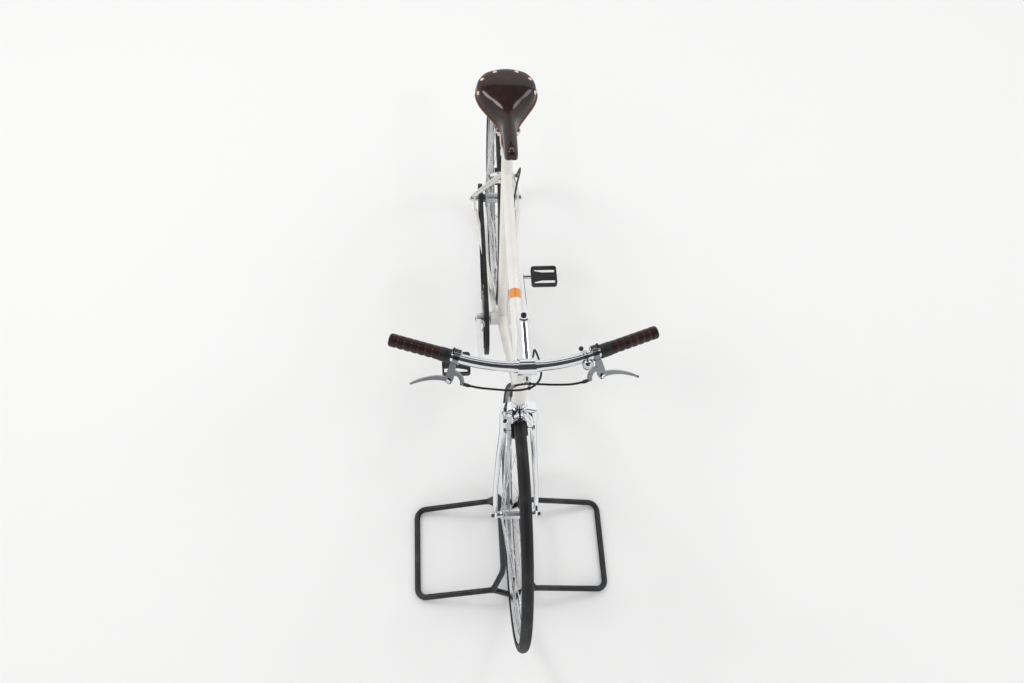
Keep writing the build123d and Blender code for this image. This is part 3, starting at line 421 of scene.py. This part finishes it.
for entry in record["subparts"]:
    piece = nodes[entry["node"]]
    piece.data.materials.clear()
    piece.data.materials.append(special.get(entry["node"], finishes[entry["material_slot"]]))
print("materials given to", len(nodes), "nodes")


def mm(x, y, z):
    return Vector((x, y, z)) / 1000


def mirrored(point, side):
    return Vector((point[0], point[1] * side, point[2]))


def onHead(distance):  # point of the steering axis, in mm up from its foot
    return turnAt["steering"] + headDir * ((distance - 400) / 1000)


barEnd = Vector(gripMount["grip_end_left"]["pos_m"]) + barTurn * 0.052
barForward = Vector((barTurn.y, -barTurn.x, 0))
leverForward = (barForward * 42 - Vector((0, 0, 46))).normalized()
leverAt = barEnd - barTurn * 0.137
pivot = leverAt + leverForward * 0.052
barrelEnd = pivot + barTurn * -0.0335 + leverForward * 0.001
stayDir = Vector((0.52397, 0, 0.85174))
stayBack = Vector((-0.85174, 0, 0.52397))
frontAnchor = mm(368.71, -35.0, 689.76)
rearAnchor = mm(-326.91, 35.0, 670.22)
crossing = onHead(532) + Vector((0, 0.026, 0))

# brake cables: smooth lines with adjusters at both ends, the rear one routed past the head
cables = {"radius": 0.0024, "bootRadius": 0.0037, "clipEvery": (0.235, 0.055, -0.150)}


def pathOf(points):
    line = bpy.data.objects.new("line", lineCurve("line", points, 0.0, fine=12))
    scene.collection.objects.link(line)
    mesh = bpy.data.meshes.new_from_object(line)
    path = [v.co.copy() for v in mesh.vertices]
    bpy.data.objects.remove(line)
    return path


def tubeMesh(name, points, radius):
    line = bpy.data.objects.new(name, lineCurve(name, points, radius, fine=10))
    scene.collection.objects.link(line)
    mesh = bpy.data.meshes.new_from_object(line)
    mesh.name = name
    bpy.data.objects.remove(line)
    return mesh


frontRoute = [
    barrelEnd, barrelEnd - barTurn * 0.024, mm(390, 62, 868), mm(386, 30, 865), mm(381, -2, 860),
    mm(380, -28, 846), mm(383, -36, 818), mm(388, -37, 780), mm(386, -37, 742),
    frontAnchor + headDir * 0.026, frontAnchor,
]
rightTurn = mirrored(barTurn, -1)
rightBarrel = mirrored(barrelEnd, -1)
loopRoute = [
    rightBarrel, rightBarrel - rightTurn * 0.024, mm(394, -66, 864), mm(394, -36, 856), mm(392, -6, 851),
    mm(384, 20, 850), mm(364, 36, 850), mm(336, 37, 851), mm(306, 31, 849), crossing + headDir * 0.014,
]
rearRoute = [
    crossing - headDir * 0.0145, mm(285, 22.5, 792), mm(264, 19, 773), mm(241, 18, 757), mm(215, 13, 748.6),
    mm(-165, 13, 753.8), mm(-200, 19, 757), mm(-235, 27, 757), mm(-272, 36, 748), mm(-308, 42, 730),
    rearAnchor + stayDir * 0.026, rearAnchor,
]
frontLine = lineCurve("front_cable", frontRoute, cables["radius"], fine=12)
frontCable = addPiece("front_cable", frontLine, "fork", housing)
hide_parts("front_brake_cable")
rearMesh = tubeMesh("rear_cable", loopRoute + rearRoute, cables["radius"])
rearMesh.materials.clear()
rearMesh.materials.append(housing)
rearMesh.shade_smooth()
rearCable = bpy.data.objects.new("rear_cable", rearMesh)
scene.collection.objects.link(rearCable)
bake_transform(rearCable)
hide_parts("rear_cable_loop", "rear_brake_cable")
frontPath = pathOf(frontRoute)
loopPath = pathOf(loopRoute)
rearPath = pathOf(rearRoute)


def nearest(path, value, axis):
    index = min(range(1, len(path) - 1), key=lambda i: abs(path[i][axis] - value))
    return path[index], (path[index + 1] - path[index - 1]).normalized()


ferrules = Batch()
ends = [(barrelEnd, -barTurn), (rightBarrel, -rightTurn), (frontAnchor, headDir)]
adjuster = [
    (0, 0.0036), (0.002, 0.0041), (0.003, 0.0036), (0.005, 0.0041), (0.006, 0.0036), (0.008, 0.0041),
    (0.0095, 0.0034), (0.0115, 0.0031), (0.0125, 0.0024),
]
for place, along in ends:
    ferrules.add(adjuster, place, along, 20)
ferrules.put("cable_adjusters_front", "fork", "black_alloy", blackAlloy)
Batch().add(adjuster, rearAnchor, stayDir, 20).put("cable_adjuster_rear", "frame", "black_alloy", blackAlloy)
bootPoints = [p for p in frontPath if 0.790 < p.z < 0.852 and p.y < -0.02]
bootLine = lineCurve("cable_boot", bootPoints, cables["bootRadius"], fine=2)
addPiece("cable_boot", bootLine, "fork", bootGrey)
clips = Batch()
clipBand = [
    (-0.003, 0.0026), (-0.003, 0.0036), (-0.0022, 0.0041), (0.0022, 0.0041), (0.003, 0.0036), (0.003, 0.0026),
]
for x in cables["clipEvery"]:
    place, along = nearest(rearPath, x, 0)
    clips.add(clipBand, place, along, 20)
    toTube = Vector((place.x, 0, place.z + 0.013)) - place
    clips.add([(0.002, 0.0022), (0.0065, 0.0022)], place, toTube, 10)
clips.put("top_tube_clips", "frame", "polished_alloy", polished)
joined = Batch()
for path, height in ((frontPath, 0.8625), (loopPath, 0.8525)):
    place, along = nearest(path, 0.008, 1)
    joined.add(clipBand, place, along, 20)
joined.put("cable_clip", "fork", "black_alloy", blackAlloy)
print("cables laid")

# saddle: a thick hide pulled over the rails, its hem cut square and riveted at nose and cantle
saddle = {
    "length": 274, "thickness": 0.0048, "rows": 76, "columns": 44,
    "stations": [
        (0, 22, 19, 9, 0.84), (7, 31, 25, 5, 0.86), (30, 34, 29, 3, 0.84), (80, 38, 34, 5, 0.80),
        (110, 46, 40, 6, 0.68), (134, 68, 44, 6, 0.66), (160, 103, 44, 4, 0.72), (184, 136, 41, 2, 0.78),
        (210, 153, 37, 0, 0.82), (240, 147, 32, 1, 0.84), (264, 112, 25, 4, 0.84), (274, 74, 19, 9, 0.84),
    ],
    "rivets": [(240, 59), (261, 27), (205, 70.5)], "noseRivet": 15, "hem": (112, 216),
}
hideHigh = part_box("saddle_leather")[1]


def smoothAt(rows, key, column):  # cubic through uneven rows of a table
    last = len(rows) - 2
    index = next((i for i in range(last + 1) if key <= rows[i + 1][0]), last)

    def slope(i):
        low, high = rows[max(i - 1, 0)], rows[min(i + 1, len(rows) - 1)]
        return (high[column] - low[column]) / (high[0] - low[0])

    a, b = rows[index], rows[index + 1]
    width = b[0] - a[0]
    t = (key - a[0]) / width
    first = (2 * t ** 3 - 3 * t * t + 1) * a[column] + (t ** 3 - 2 * t * t + t) * width * slope(index)
    return first + (3 * t * t - 2 * t ** 3) * b[column] + (t ** 3 - t * t) * width * slope(index + 1)


def hidePoint(back, across):  # across runs from -1 at the right hem to 1 at the left hem
    width, depth, drop, shoulder = (smoothAt(saddle["stations"], back, column) for column in (1, 2, 3, 4))
    half, top = width / 2, -drop
    keys = [(-half, top - depth), (-half * shoulder, top - depth * 0.3), (0, top)]
    keys += [(half * shoulder, top - depth * 0.3), (half, top - depth)]
    place = (across + 1) * 2
    index = min(3, int(place))
    t = place - index
    tangents = []
    for i in (index, index + 1):
        low, high = keys[max(i - 1, 0)], keys[min(i + 1, 4)]
        share = 0.5 if 0 < i < 4 else 1.0
        tangents.append(((high[0] - low[0]) * share, (high[1] - low[1]) * share))
    y, z = (
        (2 * t ** 3 - 3 * t * t + 1) * keys[index][k] + (t ** 3 - 2 * t * t + t) * tangents[0][k]
        + (3 * t * t - 2 * t ** 3) * keys[index + 1][k] + (t ** 3 - t * t) * tangents[1][k]
        for k in (0, 1)
    )
    return Vector((hideHigh.x - back / 1000, y / 1000, hideHigh.z + z / 1000))


def hideNormal(back, across):
    alongX = hidePoint(min(back + 1, 274), across) - hidePoint(max(back - 1, 0), across)
    alongY = hidePoint(back, min(across + 0.02, 1)) - hidePoint(back, max(across - 0.02, -1))
    normal = alongY.cross(alongX).normalized()
    return normal if normal.dot(Vector((0, 0, 1)) + Vector((0, across, 0))) > 0 else -normal


def acrossFor(back, side):  # the place across where the hide is this far from the middle
    low, high = 0.0, 1.0
    for step in range(30):
        middle = (low + high) / 2
        low, high = (middle, high) if hidePoint(back, middle).y * 1000 < side else (low, middle)
    return low


def makeSaddle():
    rows, columns = saddle["rows"], saddle["columns"]
    ease = [0.5 - 0.5 * math.cos(math.pi * i / (rows - 1)) for i in range(rows)]
    backs = [saddle["length"] * (0.35 * i / (rows - 1) + 0.65 * ease[i]) for i in range(rows)]
    grid = [[hidePoint(back, 2 * j / columns - 1) for j in range(columns + 1)] for back in backs]

    def cap(row):  # the hide turns down and closes the end
        foot = (row[0] + row[-1]) / 2
        return [[foot + (point - foot) * share for point in row] for share in (0.12, 0.4, 0.7, 0.9)]

    grid = cap(grid[0]) + grid + cap(grid[-1])[::-1]
    verts = [point for row in grid for point in row]
    faces = []
    for i in range(len(grid) - 1):
        for j in range(columns):
            a = i * (columns + 1) + j
            faces.append((a, a + columns + 1, a + columns + 2, a + 1))
    mesh = meshFrom("saddle_hide", verts, faces)
    piece = addPiece("saddle_hide", mesh, "frame", leather)
    mesh.materials.append(rawEdge)
    if mesh.polygons[len(faces) // 2 + columns // 2].normal.z < 0:
        mesh.flip_normals()
    thick = piece.modifiers.new("thick", "SOLIDIFY")
    thick.thickness = saddle["thickness"]
    thick.offset = -1
    thick.material_offset_rim = 1
    thick.edge_crease_outer = 0.55
    thick.edge_crease_inner = 0.8
    rounder = piece.modifiers.new("rounder", "SUBSURF")
    rounder.levels = 1
    rounder.render_levels = 1
    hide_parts("saddle_leather")
    rivets = Batch()
    for back, side in saddle["rivets"]:
        for sign in (-1, 1):
            across = acrossFor(back, side) * sign
            head = domed(0.0052, 0.0016, 0.2)
            normal = hideNormal(back, across)
            rivets.add(head, hidePoint(back, across) - normal * 0.0006, normal, 24)
    rivets.put("saddle_rivets", "frame", "brass_parts", copper)
    first, last = saddle["hem"]
    for sign, name in ((-1, "right"), (1, "left")):  # the pale cut edge shows outside the skirt
        proud = Vector((0, sign * 0.0004, 0.0002))
        edge = [hidePoint(first + (last - first) * k / 24, sign) + proud for k in range(25)]
        hem = lineCurve("saddle_hem_" + name, edge, 0.0011)
        addPiece("saddle_hem_" + name, hem, "frame", rawEdge)
    back = saddle["noseRivet"]
    normal = hideNormal(back, 0)
    nose = Batch().add(domed(0.0048, 0.0014, 0.2), hidePoint(back, 0) - normal * 0.0005, normal, 24)
    nose.put("saddle_nose_rivet", "frame", "brass_parts", darkBrass)


makeSaddle()
bolts = Batch()
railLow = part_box("saddle_clamp")
clampAt = (railLow[0] + railLow[1]) / 2
for side in (-1, 1):
    end = Vector((clampAt.x, side * railLow[1].y, clampAt.z))
    bolts.add(socketHead(0.0062, 0.0048), end - Vector((0, side * 0.0046, 0)), (0, side, 0), 24)
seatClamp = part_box("seat_clamp")
screw = (seatClamp[0] + seatClamp[1]) / 2
screw.y = seatClamp[1].y - 0.0035
bolts.add(socketHead(0.0042, 0.004), screw + Vector((0.006, 0, 0.001)), (1, 0, 0.3), 20)
bolts.put("seat_bolts", "frame", "hub_steel", hubMetal)
print("saddle ready")

# grips: leather wrapped in segments, with a seam of thread below
grip = {
    "segments": 7, "groove": 0.0019, "seamTurn": 200, "stitches": 26, "rows": 127, "around": 40,
    "radius": 0.01435, "length": 0.106, "endRounding": 0.0012, "threadRadius": 0.00035,
}


def gripFrame(side):
    along = mirrored(barTurn, side)
    forward = mirrored(barForward, side)
    middle = Vector(gripMount["grip_end_left"]["pos_m"])
    return mirrored(middle, side) - along * 0.054, along, forward


def gripRadius(t, turn):  # turn is measured from the top towards the front
    full = grip["radius"]
    ends = min(1.0, t / 0.02, (1 - t) / 0.02)
    full -= grip["endRounding"] * (1 - math.sqrt(max(0.0, 1 - (1 - ends) ** 2)))
    notch = (1 - abs(math.sin(grip["segments"] * math.pi * t)) ** 0.6) if 0.03 < t < 0.97 else 0.0
    hold = max(0.0, math.cos(turn - math.radians(115)) * 0.5 + 0.5) ** 0.8
    seam = 0.0005 * math.exp(-((math.degrees(turn) % 360 - grip["seamTurn"]) / 3.5) ** 2)
    return full - grip["groove"] * notch * (0.25 + 0.75 * hold) - seam


def makeGrip(side, name):
    start, along, forward = gripFrame(side)
    up = Vector((0, 0, 1))
    rows, around = grip["rows"], grip["around"]
    verts, faces = [], []
    for i in range(rows):
        t = i / (rows - 1)
        for j in range(around):
            turn = 2 * math.pi * j / around
            out = up * math.cos(turn) + forward * math.sin(turn)
            verts.append(start + along * (grip["length"] * t) + out * gripRadius(t, turn))
    for i in range(rows - 1):
        for j in range(around):
            a, b = i * around + j, i * around + (j + 1) % around
            faces.append((a, b, b + around, a + around))
    mesh = meshFrom("grip_cover_" + name, verts, faces)
    mesh.materials.append(gripLeather)
    bm = bmesh.new()
    bm.from_mesh(mesh)
    bmesh.ops.recalc_face_normals(bm, faces=bm.faces)
    bm.to_mesh(mesh)
    bm.free()
    mesh.materials.clear()
    piece = addPiece("grip_cover_" + name, mesh, "fork", gripLeather)
    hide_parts("grip_" + name)
    cap = Batch()
    plug = [
        (0, 0.0132), (0.0012, 0.0134), (0.002, 0.0126), (0.002, 0.009), (0.0014, 0.0085),
        (0.0014, 0.00001),
    ]
    collar = [
        (-0.0245, 0.0112), (-0.025, 0.0144), (-0.0242, 0.015), (-0.0176, 0.015), (-0.017, 0.0142),
        (-0.016, 0.0142), (-0.0154, 0.015), (-0.0012, 0.015), (-0.0004, 0.0144), (0.0004, 0.0112),
    ]
    cap.add(plug, start + along * grip["length"], along, 40)
    cap.add(collar, start, along, 44)
    cap.put("grip_collar_" + name, "fork", "black_alloy", blackAlloy)
    screws = Batch()
    down = (forward * 0.35 - up).normalized()
    screws.add(socketHead(0.0026, 0.0012), start - along * 0.0208 + down * 0.0142, down, 16)
    screws.put("grip_screw_" + name, "fork", "hub_steel", hubMetal)
    thread = bpy.data.curves.new("grip_thread_" + name, "CURVE")
    thread.dimensions = "3D"
    thread.bevel_depth = grip["threadRadius"]
    thread.bevel_resolution = 1
    for k in range(grip["stitches"]):
        t = 0.05 + 0.9 * k / (grip["stitches"] - 1)
        line = thread.splines.new("POLY")
        line.points.add(2)
        for point, (shift, swing) in zip(line.points, ((-0.0012, -9), (0, 0), (0.0012, 9))):
            turn = math.radians(grip["seamTurn"] + swing)
            out = up * math.cos(turn) + forward * math.sin(turn)
            radius = gripRadius(t, turn) + 0.0002
            point.co = (*(start + along * (grip["length"] * t + shift) + out * radius), 1)
    addPiece("grip_thread_" + name, thread, "fork", threadWax, False)


threadWax = blackCoat("waxedThread", (0.10, 0.055, 0.035), 0.5, 1500.0, 0.0001)
for side, name in ((1, "left"), (-1, "right")):
    makeGrip(side, name)
print("grips ready")

# tyres: round section with centre grooves and small slanted sipes
tyre = {"repeats": 110, "seat": 0.311, "radius": 0.014, "groove": 0.0008, "beadLine": 0.0004, "sharpFrom": 28}


def tyreDepth(degrees, step):
    side = abs(degrees)
    depth = 0.0
    if 10 < side < 14:
        depth = tyre["groove"]
    if 18 < side < 44 and (step + int(side / 7)) % 4 == 0:
        depth = tyre["groove"]
    if 47 < side < 51:
        depth = tyre["groove"] * 0.6
    if 96 < side < 100:
        depth = tyre["beadLine"]
    return depth


def makeTyre(name, centre, body):
    steps = tyre["repeats"] * 4
    marks = [0, 10, 10.3, 13.7, 14, 18, 24, 30, 37, 44, 44.5, 47, 47.3, 50.7, 51]
    marks += [60, 72, 84, 96, 97, 99, 100, 110, 118]
    angles = [-a for a in marks[:0:-1]] + marks
    verts, faces = [], []
    for step in range(steps):
        turn = 2 * math.pi * step / steps
        for degrees in angles:
            a = math.radians(degrees)
            radius = tyre["radius"] - tyreDepth(degrees, step)
            out = tyre["seat"] + tyre["radius"] + radius * math.cos(a)
            verts.append(centre + Vector((out * math.cos(turn), radius * math.sin(a), out * math.sin(turn))))
    count = len(angles)
    for step in range(steps):
        for k in range(count - 1):
            a = step * count + k
            b = (step + 1) % steps * count + k
            faces.append((a, a + 1, b + 1, b))
    mesh = meshFrom(name, verts, faces)
    piece = addPiece(name, mesh, body, tyreBlack)
    mesh.set_sharp_from_angle(angle=math.radians(tyre["sharpFrom"]))
    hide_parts(body.split("_")[0] + "_tyre")


makeTyre("front_tread", frontAxle, "front_wheel")
makeTyre("rear_tread", rearAxle, "rear_wheel")

# wheels: nipples, spoke heads, valve and axle details
wheel = {"spokes": 32, "cross": 5.5, "rimInner": 0.299, "valveTurn": -65, "flange": 0.0032}
hubs = {"front": (0.019, 0.035), "rear": (0.022, 0.032)}
nipple = [(-0.001, 0.0027), (0.0012, 0.0027), (0.0016, 0.0019), (0.0105, 0.0017), (0.011, 0.0011)]


def wheelPoint(centre, radius, turn, side):
    return centre + Vector((radius * math.cos(turn), side, radius * math.sin(turn)))


for end, centre in (("front", frontAxle), ("rear", rearAxle)):
    small, heads = Batch(), Batch()
    holeRadius, offset = hubs[end]
    for index in range(wheel["spokes"]):
        side = 1 if index % 2 == 0 else -1
        pull = 1 if (index // 2) % 2 == 0 else -1
        rimTurn = 2 * math.pi * (index + 0.5) / wheel["spokes"]
        hubTurn = rimTurn + pull * 2 * math.pi * wheel["cross"] / wheel["spokes"]
        hole = wheelPoint(centre, holeRadius, hubTurn, side * (offset + pull * wheel["flange"] / 2))
        rim = wheelPoint(centre, wheel["rimInner"], rimTurn, side * 0.002)
        small.add(nipple, rim, hole - rim, 10)
        under = wheelPoint(centre, holeRadius, hubTurn, side * (offset - pull * wheel["flange"] / 2))
        heads.add(domed(0.0021, 0.0012), under, (0, -side * pull, 0), 10)
    small.put(end + "_nipples", end + "_wheel", "hub_steel", hubMetal)
    heads.put(end + "_spoke_heads", end + "_wheel", "hub_steel", hubMetal)
    turn = math.radians(wheel["valveTurn"])
    inward = -Vector((math.cos(turn), 0, math.sin(turn)))
    stem = Batch().add([
        (-0.002, 0.0042), (0.0022, 0.0042), (0.0026, 0.0032), (0.024, 0.0031), (0.0245, 0.0039),
        (0.0255, 0.0036), (0.0265, 0.0039), (0.0275, 0.0036), (0.0285, 0.0039), (0.035, 0.0037),
        (0.0365, 0.003), (0.037, 0.00001),
    ], wheelPoint(centre, wheel["rimInner"], turn, 0), inward, 18)
    stem.put(end + "_valve", end + "_wheel", "black_alloy", blackAlloy)
nuts = {"front": Batch(), "rear": Batch()}
for end, centre, body in (("front", frontAxle, "fork"), ("rear", rearAxle, "frame")):
    low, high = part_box(end + "_axle")
    for side, reach in ((1, high.y), (-1, low.y)):
        place = Vector((centre.x, reach - side * 0.0022, centre.z))
        shape = [(0, 0.0062), (0.0012, 0.006), (0.0030, 0.0048), (0.0042, 0.0028), (0.0046, 0.00001)]
        nuts[end].add(shape, place, (0, side, 0), 20)
    nuts[end].put(end + "_axle_caps", body, "hub_steel", hubMetal)
print("wheels ready")

# small fittings of the cockpit
fittings = Batch()
dark = Batch()
for side in (-1, 1):
    along = mirrored(barTurn, side)
    forward = mirrored(leverForward, side)
    axis = along.cross(forward).normalized()
    centre = mirrored(pivot, side)
    for sign in (-1, 1):
        fittings.add(socketHead(0.0044, 0.0022), centre + axis * (sign * 0.0072), axis * sign, 22)
    clamp = mirrored(leverAt, side) - along * 0.006 - forward * 0.0161
    recess = [
        (0, 0.0042), (0.0006, 0.0046), (0.0034, 0.0046), (0.0040, 0.0040), (0.0040, 0.0024),
        (0.0022, 0.0022), (0.0022, 0.00001),
    ]
    dark.add(recess, clamp + along * 0.0070, along, 24)
    fittings.add(domed(0.0036, 0.0022), clamp - along * 0.0072, -along, 20)
    tip = centre + along * 0.0785 + forward * 0.0315
    fittings.add(domed(0.0032, 0.0024), tip - axis * 0.002, axis, 16)
fittings.put("lever_fittings", "fork", "polished_alloy", polished)
dark.put("lever_clamp_screws", "fork", "black_alloy", blackAlloy)
bellShare = math.radians(19.0 * 0.9)
bellAt = Vector((0.3702 - 0.415 * (1 - math.cos(bellShare)), 0.415 * math.sin(bellShare), 0.918))
knobAt = bellAt + mm(-8, -10, 23.1)
strike = Vector((-8, -10, 12)).normalized()
knobShape = [
    (-0.004, 0.0026), (-0.003, 0.0042), (-0.001, 0.0052), (0.0015, 0.0052), (0.0035, 0.0038),
    (0.0042, 0.00001),
]
knob = Batch().add(knobShape, knobAt, strike, 22)
knob.put("bell_knob", "fork", "black_alloy", blackAlloy)
bellTurn = Vector((-math.sin(bellShare), math.cos(bellShare), 0))
bellFront = Vector((bellTurn.y, -bellTurn.x, 0))
bellUp = (bellFront + Vector((0, 0, 1))).normalized()
bellBase = bellAt + bellFront * 0.016 + Vector((0, 0, -0.003))
rimShape = [(-0.0006, 0.0100), (-0.0006, 0.0124), (0.0004, 0.0129), (0.0018, 0.0129), (0.0024, 0.0122)]
ring = Batch().add(rimShape, bellBase, bellUp, 40)
ring.add(domed(0.0026, 0.0014), bellBase + bellUp * 0.0118, bellUp, 18)
ring.put("bell_rim", "fork", "chrome", chrome)
stemBolts = Batch()
capAt = onHead(643)
stemBolts.add(socketHead(0.0062, 0.0036), capAt - headDir * 0.0004, headDir, 26)
stemBolts.put("stem_bolt", "fork", "black_alloy", blackAlloy)
pinch = Vector((0.3702 + 0.0111 + 0.008 + 0.004, 0, 0.918 - 0.0175 - 0.0045))
pinchFace = Batch().add(socketHead(0.0051, 0.0016), pinch, (1, 0, 0), 22)
pinchFace.put("clamp_bolt_face", "fork", "hub_steel", hubMetal)

# headset: seams between the turned rings, and flats on the nut
seams = Batch()
for low, high, radius in ((363.6, 365.2, 20.1), (366.8, 368.4, 20.1)):
    outer, inner, rise = radius / 1000, (radius - 1.5) / 1000, (high - low) / 1000
    seams.add([(0, inner), (0.0003, outer), (rise - 0.0003, outer), (rise, inner)], onHead(low), headDir, 56)
seams.put("lower_race_rings", "fork", "chrome", chrome)
flats = Batch()
nutShape = [(0, 0.0165), (0.0004, 0.0192), (0.0066, 0.0192), (0.0074, 0.0184), (0.0074, 0.0155)]
flats.add(nutShape, onHead(503), headDir, 8)
flats.add([(0, 0.0165), (0.0003, 0.0176), (0.0016, 0.0176), (0.002, 0.0165)], onHead(512), headDir, 48)
flats.put("headset_nut", "fork", "chrome", chrome, 20)
print("cockpit ready")


# brake calipers: pivot nut, return spring, shoe bolts and cable screw
def makeCaliperBits(name, body, axle, upward, outward, seat, armSide):
    bits = Batch()
    centre = axle + upward * 0.352
    face = centre + outward * (seat + 0.026)
    bits.add([(-0.004, 0.0078), (-0.0034, 0.0082), (0, 0.0082), (0.0002, 0.0064)], face, outward, 6)
    bits.add(domed(0.0052, 0.0034), face - outward * 0.0002, outward, 22)
    for side, layer in ((1, 0), (-1, 1)):
        depth = seat + 0.004 + layer * 0.007 + 0.0035
        shoe = axle + upward * 0.309 + outward * depth + Vector((0, side * 0.035, 0))
        bits.add(socketHead(0.0051, 0.0022), shoe - Vector((0, side * 0.0004, 0)), (0, side, 0), 22)
        washer = axle + upward * 0.309 + outward * depth + Vector((0, side * 0.0312, 0))
        rounded = [(0, 0.0072), (0.0004, 0.0078), (0.0014, 0.0078), (0.0018, 0.0072)]
        bits.add(rounded, washer, (0, side, 0), 26)
    anchorDepth = seat + 0.004 + 0.007 * (0.5 if armSide > 0 else 1.5)
    screw = axle + upward * 0.346 + outward * (anchorDepth + 0.0035) + Vector((0, armSide * 0.035, 0))
    bits.add(socketHead(0.0046, 0.003), screw, outward, 20)
    bits.put("caliper_bits_" + name, body, "black_alloy", blackAlloy)
    base = centre + outward * (seat + 0.0205)
    legs = []
    for side in (-1, 1):
        legs.append([
            base + upward * 0.004 + Vector((0, side * 0.003, 0)),
            base - upward * 0.004 + Vector((0, side * 0.012, 0)),
            base - upward * 0.012 + Vector((0, side * 0.023, 0)),
            base - upward * 0.026 + Vector((0, side * 0.0275, 0)) - outward * 0.002,
        ])
    points = legs[0][::-1] + legs[1]
    spring = lineCurve("caliper_spring_" + name, points, 0.0009)
    addPiece("caliper_spring_" + name, spring, body, hubMetal)


makeCaliperBits("front", "fork", frontAxle, headDir, headFront, -0.032, -1)
rearSeat = (mm(-329.36, 0, 642.38) - rearAxle).dot(stayBack) + 0.005
makeCaliperBits("rear", "frame", rearAxle, stayDir, stayBack, rearSeat, 1)
print("brakes ready")

# drive: ring bolts, crank bolts, shell rings and pedal pins
drive = {"crankTurn": 12.5, "arms": 5, "pinRadius": 0.0013, "pinHeight": 0.0013}
turn = math.radians(drive["crankTurn"])
ringBolts = Batch()
ringInner = 0.105042 - 0.0036 - 0.022
for index in range(drive["arms"]):
    angle = turn + 2 * math.pi * (index + 0.5) / drive["arms"]
    reach = ringInner + 0.006
    place = bracket + Vector((math.cos(angle) * reach, -0.057, math.sin(angle) * reach))
    ringBolts.add(socketHead(0.0048, 0.0018), place + Vector((0, 0.0002, 0)), (0, -1, 0), 22)
for side in (-1, 1):
    face = Vector((bracket.x, side * 0.0799, bracket.z))
    shape = [(0, 0.0078), (0.0006, 0.0074), (0.0006, 0.0046), (-0.0016, 0.0044), (-0.0016, 0.00001)]
    ringBolts.add(shape, face, (0, side, 0), 30)
ringBolts.put("crank_bolts", "crank", "hub_steel", hubMetal)
cups = Batch()
for side in (-1, 1):
    face = Vector((bracket.x, side * 0.034, bracket.z))
    shape = [
        (0, 0.0192), (0.0004, 0.0205), (0.0022, 0.0205), (0.0026, 0.0198), (0.0026, 0.0125), (0.0014, 0.012),
        (0.0014, 0.0086),
    ]
    cups.add(shape, face, (0, side, 0), 12)
cups.put("bracket_cups", "frame", "hub_steel", hubMetal, 20)
for side, name in ((1, "left"), (-1, "right")):
    low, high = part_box("pedal_" + name)
    pins = Batch()
    radius, height = drive["pinRadius"], drive["pinHeight"]
    pin = [(0, radius), (height * 0.7, radius * 0.9), (height, radius * 0.5), (height, 0.00001)]
    for x in (low.x + 0.0028, high.x - 0.0028):
        for k in range(11):
            y = low.y + 0.011 + (high.y - low.y - 0.022) * k / 10
            for z, up in ((high.z, 1), (low.z, -1)):
                pins.add(pin, Vector((x, y, z - up * 0.0001)), (0, 0, up), 8)
    for y in (low.y + 0.003, high.y - 0.003):
        for k in range(5):
            x = low.x + 0.014 + (high.x - low.x - 0.028) * k / 4
            for z, up in ((high.z, 1), (low.z, -1)):
                pins.add(pin, Vector((x, y, z - up * 0.0001)), (0, 0, up), 8)
    pins.put("pedal_pins_" + name, "pedal_" + name, "pedal_resin", resin)
    end = Vector(((low.x + high.x) / 2, high.y if side > 0 else low.y, (low.z + high.z) / 2))
    shape = [
        (-0.001, 0.0072), (0.0002, 0.0072), (0.0009, 0.0062), (0.0009, 0.003), (0.0003, 0.0028),
        (0.0003, 0.00001),
    ]
    dust = Batch().add(shape, end, (0, side, 0), 26)
    dust.put("pedal_cap_" + name, "pedal_" + name, "pedal_resin", resin)
lock = Batch()
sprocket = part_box("rear_sprocket")
lockShape = [
    (0, 0.0175), (0.0004, 0.0182), (0.0022, 0.0182), (0.0028, 0.0176), (0.0028, 0.0125), (0.001, 0.012),
]
lockAt = Vector((rearAxle.x, sprocket[0].y + 0.0004, rearAxle.z))
lock.add(lockShape, lockAt, (0, -1, 0), 24)
lock.put("sprocket_lockring", "rear_wheel", "hub_steel", hubMetal, 20)
print("drive ready")

# stand: weld collars where the tubes meet
welds = Batch()
for along in (134, -120):
    for side in (-1, 1):
        place = frontAxle + mm(along, side * 57, 70 - frontAxle.z * 1000)
        toHoop = mm(-34 if along > 0 else 8, side * -27.5, 80)
        welds.add([(0.004, 0.0083), (0.006, 0.0094), (0.0085, 0.0094), (0.0105, 0.0083)], place, toHoop, 30)
welds.put("stand_welds", "fork", "stand_paint", standBlack)
print("stand ready")

print("scene finished")
